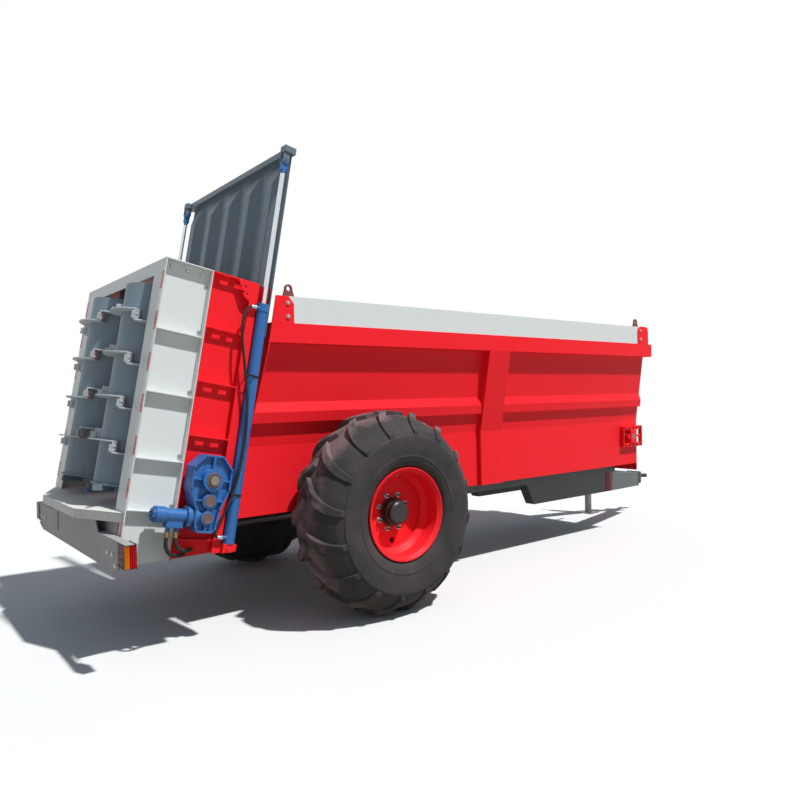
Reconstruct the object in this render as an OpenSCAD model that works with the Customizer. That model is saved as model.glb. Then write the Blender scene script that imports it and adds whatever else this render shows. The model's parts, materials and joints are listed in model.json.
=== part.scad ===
// Rear-discharge manure spreader trailer: one axle, upright beaters, floor conveyor and sliding door.
// Millimetres. +X points to the hitch, +Y to the left, Z = 0 is the ground.

/* [Wheels] */
// Diameter of a tyre over its lugs
tyre_d = 1570; // [1400:5:1600]
// Width of a tyre
tyre_w = 587; // [500:1:600]
// Diameter of a rim over its flanges
rim_d = 711; // [650:1:760]
// Width of a rim over its flanges
rim_w = 520; // [460:5:540]
// Distance between the middle planes of the two tyres
track = 2280; // [2270:5:2400]
// Number of wheel studs
studs = 8; // [6:1:10]
// Number of lugs on each half of a tyre
lugs = 16; // [14:1:18]
// Height of a lug
lug_h = 38; // [30:1:45]
// Width of a lug along the tread
lug_w = 62; // [50:1:70]

/* [Tub] */
// Distance from the axle forward to the front wall
tub_front = 4150; // [4000:10:4400]
// Width over the lower side walls
low_w = 1520; // [1460:5:1530]
// Width over the side walls just below the rails
top_w = 1730; // [1680:5:1740]
// Width over the top rails
rail_w = 1890; // [1840:5:1920]
// Thickness of the tub's sheet
wall_t = 8; // [6:1:10]
// Height of the lower edge of the side walls
skirt_z = 810; // [790:5:820]
// Height of the crease where the walls start to flare
crease_z = 1326; // [1300:1:1350]
// Height of the underside of the top rails
rail_z = 2088; // [2050:1:2120]
// Height of a top rail
rail_h = 147; // [120:1:160]
// Height of the boards on the rails
board_h = 200; // [150:5:220]
// Thickness of the boards
board_t = 30; // [20:1:40]
// Height of the swage rib's lower edge
rib_z = 1497; // [1480:1:1520]
// Height of the swage rib
rib_h = 163; // [120:1:180]
// How far the swage rib stands out
rib_p = 38; // [20:1:40]
// Distance from the axle forward to the middle of the column
column_x = 1565; // [1500:5:1700]
// Width of the column
column_w = 290; // [200:5:320]

/* [Floor conveyor] */
// Height of both conveyor shafts
shaft_z = 1145; // [1135:1:1150]
// Radius of a conveyor shaft
shaft_r = 30; // [25:1:32]
// Radius of the chain's middle line round a sprocket
chain_r = 55; // [50:1:60]
// Thickness of the chain
chain_t = 16; // [12:1:18]
// Width of a chain
chain_w = 40; // [30:1:50]
// Height of a slat
slat_h = 20; // [15:1:24]
// Distance between two slats along the floor
slat_pitch = 360; // [300:10:420]

/* [Rear frame] */
// Forward lean of the rear frame, in degrees
lean = 10.5; // [8:0.5:11]
// Distance from the axle back to the foot of the side panels' rear edge
foot_x = 1985; // [1950:1:2000]
// Height of the foot of the rear frame
foot_z = 625; // [600:5:640]
// Height of the rear frame along the lean
frame_h = 2040; // [1990:5:2060]
// Outer width of the rear frame
frame_w = 1840; // [1830:5:1850]
// Depth of a side panel
panel_l = 330; // [310:1:340]
// Depth of a post
post_l = 350; // [340:1:360]
// Height of the flanges on panels and posts
flange_h = 58; // [50:1:65]
// Thickness of the panels' and posts' plates
plate_t = 8; // [6:1:10]
// Inward return of the panels' rear flange
return_w = 200; // [150:1:204]

/* [Door] */
// Height of the door along the lean
door_h = 1430; // [1400:5:1450]
// Width of the door
door_w = 1810; // [1780:5:1830]
// Depth of the door over its ribs
door_d = 66; // [50:1:70]
// Thickness of the door's sheet
door_t = 8; // [6:1:10]
// Number of ribs on the door
door_ribs = 5; // [4:1:7]
// Width of a rib's crest on the door
door_rib_w = 90; // [70:1:110]
// Width of a rib's sloping flank
door_flank = 75; // [50:1:80]
// Height of the beam on top of the door
door_beam_h = 48; // [40:1:60]
// Depth of the beam on top of the door
door_beam_d = 58; // [50:1:64]
// Travel of the door along the lean
door_travel = 900; // [800:10:910]
// Radius of a cylinder barrel
barrel_r = 42; // [36:1:44]
// Radius of a cylinder rod
rod_r = 17; // [14:1:20]
// Length of a cylinder barrel
barrel_l = 1710; // [1650:5:1720]
// Height of a barrel's foot along the lean
barrel_w = 190; // [180:1:200]
// Radius of a hose
hose_r = 10; // [8:0.5:12]

/* [Beaters] */
// Distance between the two beater axes
beater_gap = 820; // [815:1:830]
// Distance of the beater axes ahead of the panels' rear edges
beater_u = 150; // [140:1:155]
// Radius of a beater drum
drum_r = 222; // [200:1:224]
// Outer radius of the stepped flights
flight_r = 300; // [280:1:310]
// Height of one step of the flights
step_h = 76; // [70:1:84]
// Thickness of the flights' plates
flight_t = 10; // [8:1:12]
// Radius swept by the blades
sweep_r = 330; // [315:1:333]

/* [Rear deck] */
// Height of the deck's top
deck_z = 975; // [960:5:985]
// Height of the deck's rim
deck_h = 62; // [50:1:70]
// Distance from the axle back to the deck's rear edge
deck_rear = 2110; // [2100:1:2120]
// Distance from the axle back to the bumper
bumper_x = 2010; // [2005:1:2015]
// Width of the bumper
bumper_w = 2400; // [2300:10:2440]

/* [Chassis and drawbar] */
// Side of the square axle beam
axle_s = 120; // [100:5:130]
// Height of the chassis rails over the axle
rail_s = 170; // [150:5:175]
// Width of a chassis rail
rail_b = 100; // [80:5:110]
// Distance between the middles of the chassis rails
rail_gap = 900; // [860:5:920]
// Height of the drawbar's upper face
draw_z = 690; // [680:1:695]
// Height of the drawbar's rails
draw_h = 230; // [200:5:240]
// Width of the drawbar's rails
draw_b = 120; // [100:5:130]
// Distance from the axle forward to the hitch eye
hitch_x = 5530; // [5500:10:5700]
// Height of the hitch eye
hitch_z = 500; // [480:5:510]
// Radius of the hitch eye's bore
hitch_r = 25; // [25:0.5:26]
// Height of the driveline
line_z = 640; // [630:1:645]
// Radius of the driveline's tube
line_r = 35; // [30:1:38]
// Distance from the axle forward to the jack
jack_x = 4730; // [4700:5:4800]

/* [Hidden] */
$fa = 6;
$fs = 4;
move_gap = 6;
run_gap = 0.4;
seat_gap = 0.3;
collar = 4;
// Height along the lean at which the level z is met u ahead of the rear edge
function lift_over(z, u) = (z - foot_z + u * sin(lean)) / cos(lean);
axle_z = tyre_d / 2;
half_track = track / 2;
low_y = low_w / 2;
top_y = top_w / 2;
rail_y = rail_w / 2;
rail_top = rail_z + rail_h;
board_z = rail_top + board_h;
post_y = frame_w / 2;
skin_y = post_y - flange_h;
post_u = panel_l;
guide_u = post_u + post_l;
barrel_y = skin_y + plate_t + 8 + collar + barrel_r;
barrel_u = guide_u + 3 + collar + barrel_r;
sheet_u = barrel_u + barrel_r + collar + 2 * move_gap;
tub_u = sheet_u + door_t + 2 * move_gap;
barrel_top = barrel_w + barrel_l;
floor_z = shaft_z + chain_r - chain_t / 2;
load_z = floor_z + chain_t + slat_h;
door_low = lift_over(load_z + 2 * move_gap, sheet_u + door_t);
door_lift = door_low + door_travel;
return_y = post_y - return_w;
rear_shaft_u = post_u + post_l / 2;
chassis_z = axle_z + axle_s / 2;
chassis_top = chassis_z + rail_s;
chassis_y = rail_gap / 2;
draw_y = chassis_y - 30;
beater_y = beater_gap / 2;
front_tip = hitch_x + 60;
origin_x = (deck_rear - front_tip) / 2;
beam_x = -1210;
beam_b = 150;
beam_z = chassis_z - 80;
bend_x = tub_front - 150;
head_x = hitch_x - 420;
head_y = 60;
member_xs = [-880, 670, column_x, 2470, 3320];
member_h = 100;
member_z = chassis_top - 120;
paddle_h = 50;
drum_w0 = lift_over(deck_z, beater_u + sweep_r) + paddle_h + 2 * move_gap;
door_top = door_lift + door_h;
eye_w = door_top - door_beam_h - 60;
drum_w1 = frame_h - 130;
flight_w0 = lift_over(load_z, beater_u + sweep_r) + 2 * move_gap;
stub_u = beater_u + 170;
case_h = 190;
case_w0 = (line_z - foot_z + stub_u * sin(lean)) / cos(lean) - case_h / 2;
stub_x = -foot_x + stub_u * cos(lean) + (case_w0 + case_h / 2) * sin(lean);

RED = [0.84, 0.12, 0.13];
PALE = [0.85, 0.87, 0.87];
SLATE = [0.26, 0.31, 0.35];
DARK = [0.23, 0.25, 0.26];
BLUE = [0.13, 0.42, 0.70];
STEEL = [0.55, 0.55, 0.55];
BLACK = [0.08, 0.08, 0.08];

// Shared shapes

module box(a, b) {
  translate(a) cube(b - a);
}

// The machine drawn from the axle, set so that its length is centred on the origin
module placed() {
  translate([origin_x, 0, 0]) children();
}

// The rear frame: u forward, w up along the lean
module leaned() {
  translate([-foot_x, 0, foot_z]) rotate([0, lean, 0]) children();
}

module on_side(s) {
  if (s > 0) {
    children();
  } else {
    mirror([0, 1, 0]) children();
  }
}

module both_sides() {
  children();
  mirror([0, 1, 0]) children();
}

// A profile drawn in Y and Z, run along X
module along_x(x0, x1) {
  translate([x0, 0, 0]) rotate([90, 0, 90]) linear_extrude(x1 - x0) children();
}

// A profile drawn in X and Z, run along Y
module along_y(y0, y1) {
  translate([0, y1, 0]) rotate([90, 0, 0]) linear_extrude(y1 - y0) children();
}

// A round bar along Y
module rod_y(x, z, r, y0, y1) {
  translate([x, y1, z]) rotate([90, 0, 0]) cylinder(r = r, h = y1 - y0);
}

// A round bar along X
module rod_x(y, z, r, x0, x1) {
  translate([x0, y, z]) rotate([0, 90, 0]) cylinder(r = r, h = x1 - x0);
}

// Everything behind the plane u = u0 of the rear frame
module behind(u0) {
  leaned() box([u0 - 2000, -1500, -800], [u0, 1500, 3500]);
}

// Everything below the rear frame's level foot
module below_foot() {
  box([-foot_x - 500, -1500, foot_z - 400], [-foot_x + 1500, 1500, foot_z]);
}

function wall_y(z) =
  z <= crease_z ? low_y : low_y + (top_y - low_y) * (z - crease_z) / (rail_z - crease_z);

// Chassis

module chassis_rails() {
  color(DARK) both_sides()
    along_y(chassis_y - rail_b / 2, chassis_y + rail_b / 2)
      polygon([
        [beam_x, chassis_z], [470, chassis_z], [1470, draw_z], [tub_front - 60, draw_z],
        [tub_front - 60, chassis_top], [beam_x, chassis_top]
      ]);
}

module cross_members() {
  inner = chassis_y - rail_b / 2;
  outer = chassis_y + rail_b / 2;
  color(DARK) {
    for (x = member_xs) {
      box([x - 50, -inner, member_z], [x + 50, inner, member_z + member_h]);
      both_sides()
        box([x - 50, outer, member_z], [x + 50, low_y - wall_t, member_z + member_h]);
    }
    box([tub_front - 160, -inner, draw_z], [tub_front - 60, inner, chassis_top]);
    // Beam that carries the rear posts
    box([beam_x - beam_b, -skin_y, beam_z], [beam_x, skin_y, beam_z + 140]);
  }
}

module axle() {
  y0 = half_track - tyre_w / 2 + 60;
  color(DARK) {
    box([-axle_s / 2, -y0, axle_z - axle_s / 2], [axle_s / 2, y0, axle_z + axle_s / 2]);
    both_sides() rod_y(0, axle_z, 45, y0 - 1, half_track + 60);
  }
}

module drawbar_rails() {
  z0 = draw_z - draw_h;
  color(DARK) both_sides() {
    along_y(draw_y - draw_b / 2, draw_y + draw_b / 2)
      polygon([[2450, draw_z], [2570, z0], [bend_x, z0], [bend_x, draw_z]]);
    intersection() {
      linear_extrude(draw_z)
        polygon([
          [bend_x, draw_y + draw_b / 2], [bend_x, draw_y - draw_b / 2], [head_x, head_y],
          [head_x, head_y + draw_b]
        ]);
      along_y(0, draw_y + draw_b)
        polygon([
          [bend_x, z0], [head_x, hitch_z - 110], [head_x, hitch_z + 70], [bend_x, draw_z]
        ]);
    }
  }
}

module drawbar_head() {
  color(DARK) {
    box([head_x, -head_y - draw_b, hitch_z - 110], [head_x + 30, head_y + draw_b, hitch_z + 70]);
    box([head_x + 29, -70, hitch_z - 90], [head_x + 180, 70, hitch_z + 50]);
    box([head_x + 179, -100, hitch_z - 100], [head_x + 210, 100, hitch_z + 60]);
  }
}

module hitch_eye() {
  x0 = hitch_x - 210;
  color(DARK) {
    box([x0, -90, hitch_z - 90], [x0 + 25, 90, hitch_z + 50]);
    difference() {
      union() {
        box([x0 + 24, -38, hitch_z - 38], [hitch_x - 30, 38, hitch_z - 2]);
        translate([hitch_x, 0, hitch_z - 40]) cylinder(r = front_tip - hitch_x, h = 40);
      }
      translate([hitch_x, 0, hitch_z - 80]) cylinder(r = hitch_r, h = 120);
    }
  }
}

function draw_mid(x) =
  head_y + draw_b / 2 + (draw_y - head_y - draw_b / 2) * (head_x - x) / (head_x - bend_x);

jack_y = draw_mid(jack_x) + draw_b / 2 + 75;

module jack_tube() {
  color(DARK) translate([jack_x, jack_y, 0]) {
    difference() {
      box([-40, -40, 330], [40, 40, 900]);
      box([-32, -32, 320], [32, 32, 880]);
    }
    translate([0, 0, 899]) cylinder(r = 22, h = 50);
    rod_y(0, 930, 9, -20, 150);
    translate([0, 150, 880]) cylinder(r = 14, h = 60);
    difference() {
      box([-50, -140, hitch_z - 60], [50, -39, hitch_z + 20]);
      translate([-jack_x, -jack_y, 0]) jack_side();
    }
  }
}

// The room of the drawbar's left rail beside the jack
module jack_side() {
  translate([0, 0, hitch_z - 300]) linear_extrude(600)
    polygon([
      [bend_x, draw_y + draw_b / 2], [bend_x, -100], [head_x, -100], [head_x, head_y + draw_b]
    ]);
}

module jack_leg() {
  color(STEEL) translate([jack_x, jack_y, 0]) {
    box([-32 + run_gap, -32 + run_gap, 11], [32 - run_gap, 32 - run_gap, 560]);
    translate([-100, -100, 0]) cube([200, 200, 12]);
  }
}

// Tub

wall_x0 = -1640;
holder_t = 8;
holder_l = 215;
holder_r = 60;
rear_holder_x = -680;

// Plate with rounded upper corners that holds the front end of a side board
module front_holder() {
  x0 = tub_front - holder_l;
  y0 = rail_y - holder_t;
  box([x0, y0, rail_top - 1], [tub_front, rail_y, board_z + 5 - holder_r]);
  box([x0 + holder_r, y0, rail_top - 1], [tub_front - holder_r, rail_y, board_z + 5]);
  for (x = [x0 + holder_r, tub_front - holder_r])
    rod_y(x, board_z + 5 - holder_r, holder_r, y0, rail_y);
}

module side_wall(s) {
  color(RED) on_side(s) {
    difference() {
      union() {
        along_x(wall_x0, tub_front)
          polygon([
            [low_y, skirt_z], [low_y, crease_z], [top_y, rail_z], [rail_y, rail_z],
            [rail_y, rail_top], [top_y - wall_t, rail_top], [top_y - wall_t, rail_z],
            [low_y - wall_t, crease_z], [low_y - wall_t, skirt_z]
          ]);
        along_x(wall_x0, tub_front)
          polygon([
            [wall_y(rib_z) - 4, rib_z], [wall_y(rib_z) + rib_p, rib_z],
            [wall_y(rib_z + rib_h / 2) + rib_p, rib_z + rib_h / 2],
            [wall_y(rib_z + rib_h) - 4, rib_z + rib_h]
          ]);
        along_x(column_x - column_w / 2, column_x + column_w / 2)
          polygon([
            [low_y - 4, skirt_z], [low_y + 40, skirt_z], [low_y + 40, crease_z], [rail_y, rail_z],
            [rail_y, rail_z + 1], [top_y - 4, rail_z + 1], [low_y - 4, crease_z]
          ]);
        // Plates that hold the ends of the board
        along_y(rail_y - holder_t, rail_y)
          polygon([
            [wall_x0, rail_top - 1], [rear_holder_x, rail_top - 1], [rear_holder_x, board_z - 55],
            [rear_holder_x - 45, board_z], [wall_x0, board_z]
          ]);
        front_holder();
      }
      behind(tub_u);
      // Notch over the axle
      box([-axle_s / 2 - 30, low_y - 100, 0], [axle_s / 2 + 30, low_y + 100, chassis_z + 30]);
      // Slot for the front shaft
      box([tub_front - 240, low_y - wall_t - 1, shaft_z - 45], [tub_front - 20, low_y + 1, shaft_z + 45]);
    }
    // Flange that closes the rear end
    intersection() {
      leaned() box([tub_u, 0, 0], [tub_u + 10, 1500, 3000]);
      along_x(wall_x0, 0)
        polygon([
          [low_y - wall_t, skirt_z], [low_y + 60, skirt_z], [low_y + 60, crease_z],
          [rail_y, rail_z - 60], [rail_y, rail_top], [top_y - wall_t, rail_top], [top_y - wall_t, rail_z],
          [low_y - wall_t, crease_z]
        ]);
    }
  }
}

module side_wall_right() {
  side_wall(-1);
}

module side_wall_left() {
  side_wall(1);
}

front_z = skirt_z - 82;

module front_wall() {
  color(RED) difference() {
    union() {
      along_x(tub_front, tub_front + wall_t)
        polygon([
          [low_y, front_z], [low_y, crease_z], [top_y, rail_z], [rail_y, rail_z], [rail_y, rail_top],
          [-rail_y, rail_top], [-rail_y, rail_z], [-top_y, rail_z], [-low_y, crease_z], [-low_y, front_z]
        ]);
      for (y = [-450, 0, 450])
        box([tub_front + wall_t - 1, y - 45, chassis_top + 60], [tub_front + wall_t + 50, y + 45, rail_z + 1]);
      box([tub_front + wall_t - 1, -rail_y, rail_z], [tub_front + wall_t + 60, rail_y, rail_top]);
    }
  }
}

module side_boards() {
  color(PALE) both_sides()
    difference() {
      box([wall_x0, rail_y - holder_t - board_t, rail_top], [tub_front - 20, rail_y - holder_t, board_z]);
      behind(tub_u + 20);
    }
}

module front_board() {
  color(PALE)
    box([tub_front - 20, -rail_y + holder_t, rail_top], [tub_front + 10, rail_y - holder_t, board_z]);
}

eye_t = 16;
eye_r = 32;
eye_bore = 18;
eye_z = board_z + 62;
eye_xs = [rear_holder_x - 20, tub_front - holder_l + 15];

module lifting_eyes() {
  y1 = rail_y - holder_t - board_t;
  color(RED) both_sides()
    for (x = eye_xs)
      difference() {
        union() {
          along_y(y1 - eye_t, y1)
            polygon([
              [x - 55, rail_top], [x + 55, rail_top], [x + 55, board_z - 20], [x + eye_r - 2, eye_z],
              [x - eye_r + 2, eye_z], [x - 55, board_z - 20]
            ]);
          rod_y(x, eye_z, eye_r, y1 - eye_t, y1);
        }
        rod_y(x, eye_z, eye_bore, y1 - eye_t - 4, y1 + 4);
      }
}

slide_h = 80;
bar_h = 42;
tension_d = 46;

// Two bars beside the tub guide a block that carries the front shaft and is drawn forward by a screw
module chain_tensioners() {
  x0 = tub_front - 330;
  x1 = tub_front + 60;
  y0 = low_y;
  y1 = low_y + tension_d;
  top = slide_h + bar_h;
  color(RED) both_sides()
    difference() {
      union() {
        for (z = [shaft_z + slide_h, shaft_z - top])
          box([x0, y0, z], [x1, y1, z + bar_h]);
        for (x = [x0, x1 - 12])
          box([x, y0, shaft_z - top], [x + 12, y1, shaft_z + top]);
        box([tub_front - 190, y0 + 2, shaft_z - slide_h - 1], [tub_front - 70, y1 + 8, shaft_z + slide_h + 1]);
        box([tub_front - 240, y0 + 2, shaft_z - 24], [tub_front - 189, y1, shaft_z + 24]);
        rod_x(y0 + tension_d / 2, shaft_z, 12, tub_front - 71, x1 + 25);
      }
      rod_y(front_shaft_x, shaft_z, shaft_r + run_gap, y0 - 10, y0 + 100);
    }
}

// Floor and conveyor

rear_shaft_x = -foot_x + rear_shaft_u * cos(lean) + (shaft_z - foot_z) * tan(lean);
front_shaft_x = tub_front - 130;
chain_ys = [110, 620];

module tub_floor() {
  x0 = rear_shaft_x + 130;
  x1 = front_shaft_x - 110;
  y1 = low_y - wall_t;
  color(RED) {
    box([x0, -y1, floor_z - 12], [x1, y1, floor_z]);
    for (x = [-880, 220, 1120, 2020, 2920, 3720])
      box([x - 30, -y1, floor_z - 50], [x + 30, y1, floor_z - 11]);
  }
}

module chain_loop(y) {
  color(STEEL) difference() {
    union() {
      box([rear_shaft_x, y - chain_w / 2, shaft_z - chain_r - chain_t / 2],
          [front_shaft_x, y + chain_w / 2, shaft_z + chain_r + chain_t / 2]);
      for (x = [rear_shaft_x, front_shaft_x])
        rod_y(x, shaft_z, chain_r + chain_t / 2, y - chain_w / 2, y + chain_w / 2);
    }
    box([rear_shaft_x, y - chain_w, shaft_z - chain_r + chain_t / 2],
        [front_shaft_x, y + chain_w, shaft_z + chain_r - chain_t / 2]);
    for (x = [rear_shaft_x, front_shaft_x])
      rod_y(x, shaft_z, chain_r - chain_t / 2, y - chain_w, y + chain_w);
  }
}

module floor_conveyor() {
  run = front_shaft_x - rear_shaft_x;
  n = floor((run - 120) / slat_pitch);
  y0 = chain_ys[0] - 50;
  y1 = chain_ys[1] + 50;
  color(STEEL) both_sides() {
    for (y = chain_ys)
      chain_loop(y);
    for (i = [0:n])
      for (t = [1, -1]) {
        x = rear_shaft_x + 60 + i * slat_pitch + (t > 0 ? 0 : slat_pitch / 2);
        z = shaft_z + t * (chain_r + chain_t / 2);
        if (x < front_shaft_x - 30)
          box([x - 25, y0, t > 0 ? z - 1 : z - slat_h], [x + 25, y1, t > 0 ? z + slat_h : z + 1]);
      }
  }
}

module sprockets(x) {
  both_sides()
    for (y = chain_ys)
      rod_y(x, shaft_z, chain_r - chain_t / 2 - seat_gap, y - chain_w / 2, y + chain_w / 2);
}

module front_shaft() {
  color(STEEL) {
    rod_y(front_shaft_x, shaft_z, shaft_r, -low_y - tension_d - 8, low_y + tension_d + 8);
    sprockets(front_shaft_x);
  }
}

module rear_shaft() {
  color(STEEL) {
    rod_y(rear_shaft_x, shaft_z, shaft_r, -post_y - 175, post_y + 20);
    sprockets(rear_shaft_x);
  }
}

// Rear frame

module beater_panel(s) {
  color(PALE) on_side(s) difference() {
    leaned() {
      box([0, skin_y, -200], [panel_l, skin_y + plate_t, frame_h]);
      box([0, return_y, -200], [plate_t, post_y, frame_h]);
      box([panel_l - plate_t, skin_y, -200], [panel_l, post_y, frame_h]);
      box([0, skin_y, frame_h - plate_t], [panel_l, post_y, frame_h]);
      for (w = [371, 706, 1141, 1558])
        box([0, skin_y, w], [panel_l, post_y, w + plate_t]);
    }
    below_foot();
  }
}

module beater_panel_right() {
  beater_panel(-1);
}

module beater_panel_left() {
  beater_panel(1);
}

module rear_post(s) {
  lip = 62;
  color(RED) on_side(s) difference() {
    leaned() {
      box([post_u, skin_y, -200], [sheet_u - move_gap, skin_y + plate_t, frame_h]);
      box([post_u, skin_y, -200], [post_u + plate_t, post_y, frame_h]);
      box([guide_u - plate_t, skin_y, -200], [guide_u, post_y, frame_h]);
      box([guide_u - lip, post_y - plate_t, -200], [guide_u, post_y, frame_h]);
      for (w = [200, 894, 1266, 1642, frame_h - 12])
        difference() {
          box([post_u, skin_y, w], [guide_u, post_y, w + 12]);
          for (u = [post_u + 75, post_u + 185])
            box([u, skin_y + 22, w - 5], [u + 60, skin_y + 42, w + 20]);
        }
      // Gusset at the top
      difference() {
        translate([0, post_y, 0]) rotate([90, 0, 0]) linear_extrude(plate_t)
          polygon([
            [guide_u - 165, frame_h], [guide_u - 105, frame_h - 120], [guide_u - lip, frame_h - 145],
            [guide_u - lip + 1, frame_h]
          ]);
        for (c = [[-100, -45], [-112, -85], [-84, -95]])
          translate([guide_u + c[0], post_y + 5, frame_h + c[1]])
            rotate([90, 0, 0]) cylinder(r = 7, h = 30);
      }
      // Bracket under the barrel
      box([guide_u - 1, skin_y + 1, barrel_w - 85], [barrel_u + 50, barrel_y + 34, barrel_w]);
      rod_y(barrel_u, barrel_w - 42, 24, barrel_y + 33, barrel_y + 46);
    }
    below_foot();
    rod_y(rear_shaft_x, shaft_z, shaft_r + 3, 0, 1500);
  }
}

module rear_post_right() {
  rear_post(-1);
}

module rear_post_left() {
  rear_post(1);
}

module top_beam() {
  color(PALE) leaned() difference() {
    union() {
      box([0, -skin_y, frame_h - plate_t], [panel_l, skin_y, frame_h]);
      box([0, -skin_y, frame_h - 100], [plate_t, skin_y, frame_h]);
      box([panel_l - plate_t, -skin_y, frame_h - 100], [panel_l, skin_y, frame_h]);
    }
    for (y = [-beater_y, beater_y])
      translate([beater_u, y, frame_h - 200]) cylinder(r = beater_shaft_r + run_gap, h = 300);
    both_sides() box([-1, return_y, frame_h - 300], [plate_t, 1000, frame_h + 10]);
  }
}

deck_y = 450;
plate_z = deck_z - 10;

module deck() {
  edge = -foot_x + (deck_z - deck_h - foot_z) * tan(lean);
  front = -1280;
  color(PALE) difference() {
    translate([0, 0, deck_z - deck_h]) linear_extrude(deck_h)
      polygon([
        [-deck_rear, -deck_y], [-deck_rear, deck_y], [edge, post_y - 20], [edge, skin_y], [front, skin_y],
        [front, -skin_y], [edge, -skin_y], [edge, -post_y + 20]
      ]);
    translate([0, 0, deck_z - deck_h - 1]) linear_extrude(deck_h - 9)
      polygon([
        [-deck_rear + 10, -deck_y + 5], [-deck_rear + 10, deck_y - 5], [edge, skin_y - 80], [front - 10, skin_y - 80],
        [front - 10, -skin_y + 80], [edge, -skin_y + 80]
      ]);
    leaned() {
      both_sides() box([0, return_y, -100], [plate_t, post_y + 100, 1000]);
      for (y = [-beater_y, beater_y])
        translate([beater_u, y, 0]) cylinder(r = neck_r + run_gap, h = 800);
    }
  }
}

lamp_w = 140;
lamp_d = 68;
bumper_y = bumper_w / 2;
bumper_top = foot_z + 205;
bumper_in = bumper_y - 560;
lamp_top = bumper_top - 6;
lamp_z = foot_z + 57;

module bumper() {
  half = [
    [bumper_y - 235, foot_z], [bumper_y - 100, foot_z + 40], [bumper_y, foot_z + 55],
    [bumper_y, bumper_top], [bumper_in, bumper_top], [bumper_in - 55, deck_z - deck_h - 1],
    [bumper_in - 65, plate_z]
  ];
  color(PALE) {
    difference() {
      along_x(-bumper_x, -bumper_x + plate_t)
        polygon(concat(half, [for (i = [len(half) - 1:-1:0]) [-half[i][0], half[i][1]]]));
      both_sides()
        box([-bumper_x - 1, bumper_y - lamp_w, 0], [-bumper_x + 50, bumper_y + 1, lamp_top]);
    }
    both_sides() {
      // Cover over the lamp
      box([-bumper_x, bumper_in, lamp_top], [-foot_x + 30, bumper_y, bumper_top]);
      // Bracket to the side panel
      difference() {
        box([-bumper_x, return_y + 20, foot_z], [-foot_x + 60, return_y + 28, bumper_top - 5]);
        leaned() box([0, 0, -200], [500, 1500, 500]);
      }
    }
    // Blank plate
    box([-bumper_x - 6, 430, foot_z + 70], [-bumper_x + 1, 560, deck_z - deck_h - 30]);
  }
}

// Each lamp hangs below its cover at the bumper's end
module tail_lamps() {
  color([0.5, 0.03, 0.05]) both_sides()
    box([-bumper_x - 4, bumper_y - lamp_w + seat_gap, lamp_z],
        [-bumper_x + lamp_d, bumper_y, lamp_top - seat_gap]);
}

neck_r = 56;
neck_w = lift_over(deck_z, beater_u + neck_r) + 6;
beater_shaft_r = 40;

// One housing along the two beater shafts, hung from the deck by its necks
module beater_gearboxes() {
  color(BLUE) leaned() difference() {
    union() {
      for (y = [-beater_y, beater_y])
        translate([beater_u, y, 0]) {
          translate([0, 0, case_w0]) cylinder(r = 120, h = case_h);
          translate([0, 0, case_w0 + case_h - 1]) cylinder(r = neck_r, h = neck_w - case_w0 - case_h + 1);
          translate([0, 0, case_w0 - 20]) cylinder(r = 90, h = 22);
        }
      rod_y(beater_u, case_w0 + case_h / 2, 45, -beater_y, beater_y);
      box([beater_u - 110, -110, case_w0], [beater_u + 110, 110, case_w0 + case_h]);
      rod_x(0, case_w0 + case_h / 2, 60, beater_u + 100, stub_u);
    }
    for (y = [-beater_y, beater_y])
      translate([beater_u, y, case_w0 + 10]) cylinder(r = beater_shaft_r + run_gap, h = 1000);
  }
}

// The case's outline, drawn in by e for the edge of its recess
module gearbox_outline(e = 0) {
  half = [
    [60, 165 - e], [140 - e, 80 - e / 3], [140 - e, -60], [90 - e, -190], [75 - e, -330 + e / 2],
    [50, -350 + e]
  ];
  polygon(concat(half, [for (i = [len(half) - 1:-1:0]) [-half[i][0], half[i][1]]]));
}

module at_gearbox() {
  translate([rear_shaft_x, 0, shaft_z]) rotate([0, lean, 0]) children();
}

// Bosses on the gearbox: height below the shaft, radius, how far they stand out
gear_bosses = [[0, 72, 155], [138, 50, 142], [251, 46, 142]];
recess_y = -post_y - 104;
case_y = -post_y - 130;
motor_y = -post_y - 65;
motor_z = -gear_bosses[2][0];

module conveyor_gearbox() {
  color(BLUE) at_gearbox() difference() {
    union() {
      difference() {
        along_y(case_y, -post_y) gearbox_outline();
        along_y(case_y - 1, recess_y) gearbox_outline(14);
      }
      for (b = gear_bosses)
        rod_y(0, -b[0], b[1], -post_y - b[2], recess_y + 1);
      // Webs across the recess
      box([-8, case_y, -345], [8, recess_y + 1, 160]);
      for (w = [[-6, 135], [-144, 100]])
        box([-w[1], case_y, w[0]], [w[1], recess_y + 1, w[0] + 12]);
      rod_x(motor_y, motor_z, 60, -95, 0);
    }
    rod_y(0, 0, shaft_r + run_gap, -post_y - 200, -post_y + 10);
  }
}

port_z = -362;
port_xs = [-225, -165];

module hydraulic_motor() {
  color(BLUE) at_gearbox() {
    rod_x(motor_y, motor_z, 70, -125, -95);
    rod_x(motor_y, motor_z, 45, -260, -124);
    rod_x(motor_y, motor_z, 54, -330, -259);
    rod_x(motor_y, motor_z, 44, -342, -329);
    box([-250, motor_y - 32, motor_z - 78], [-140, motor_y + 32, motor_z]);
    for (x = port_xs)
      translate([x, motor_y, port_z]) cylinder(r = 16, h = 40);
  }
}

// A round tube swept along a route as one polyhedron; across is a direction the route never takes
tube_n = 8;

function tube_ring(p, t, r, across) =
  let (a = cross(t, across), n = a / norm(a), b = cross(t, n))
    [for (k = [0:tube_n - 1]) p + r * (cos(360 / tube_n * k) * n + sin(360 / tube_n * k) * b)];

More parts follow.
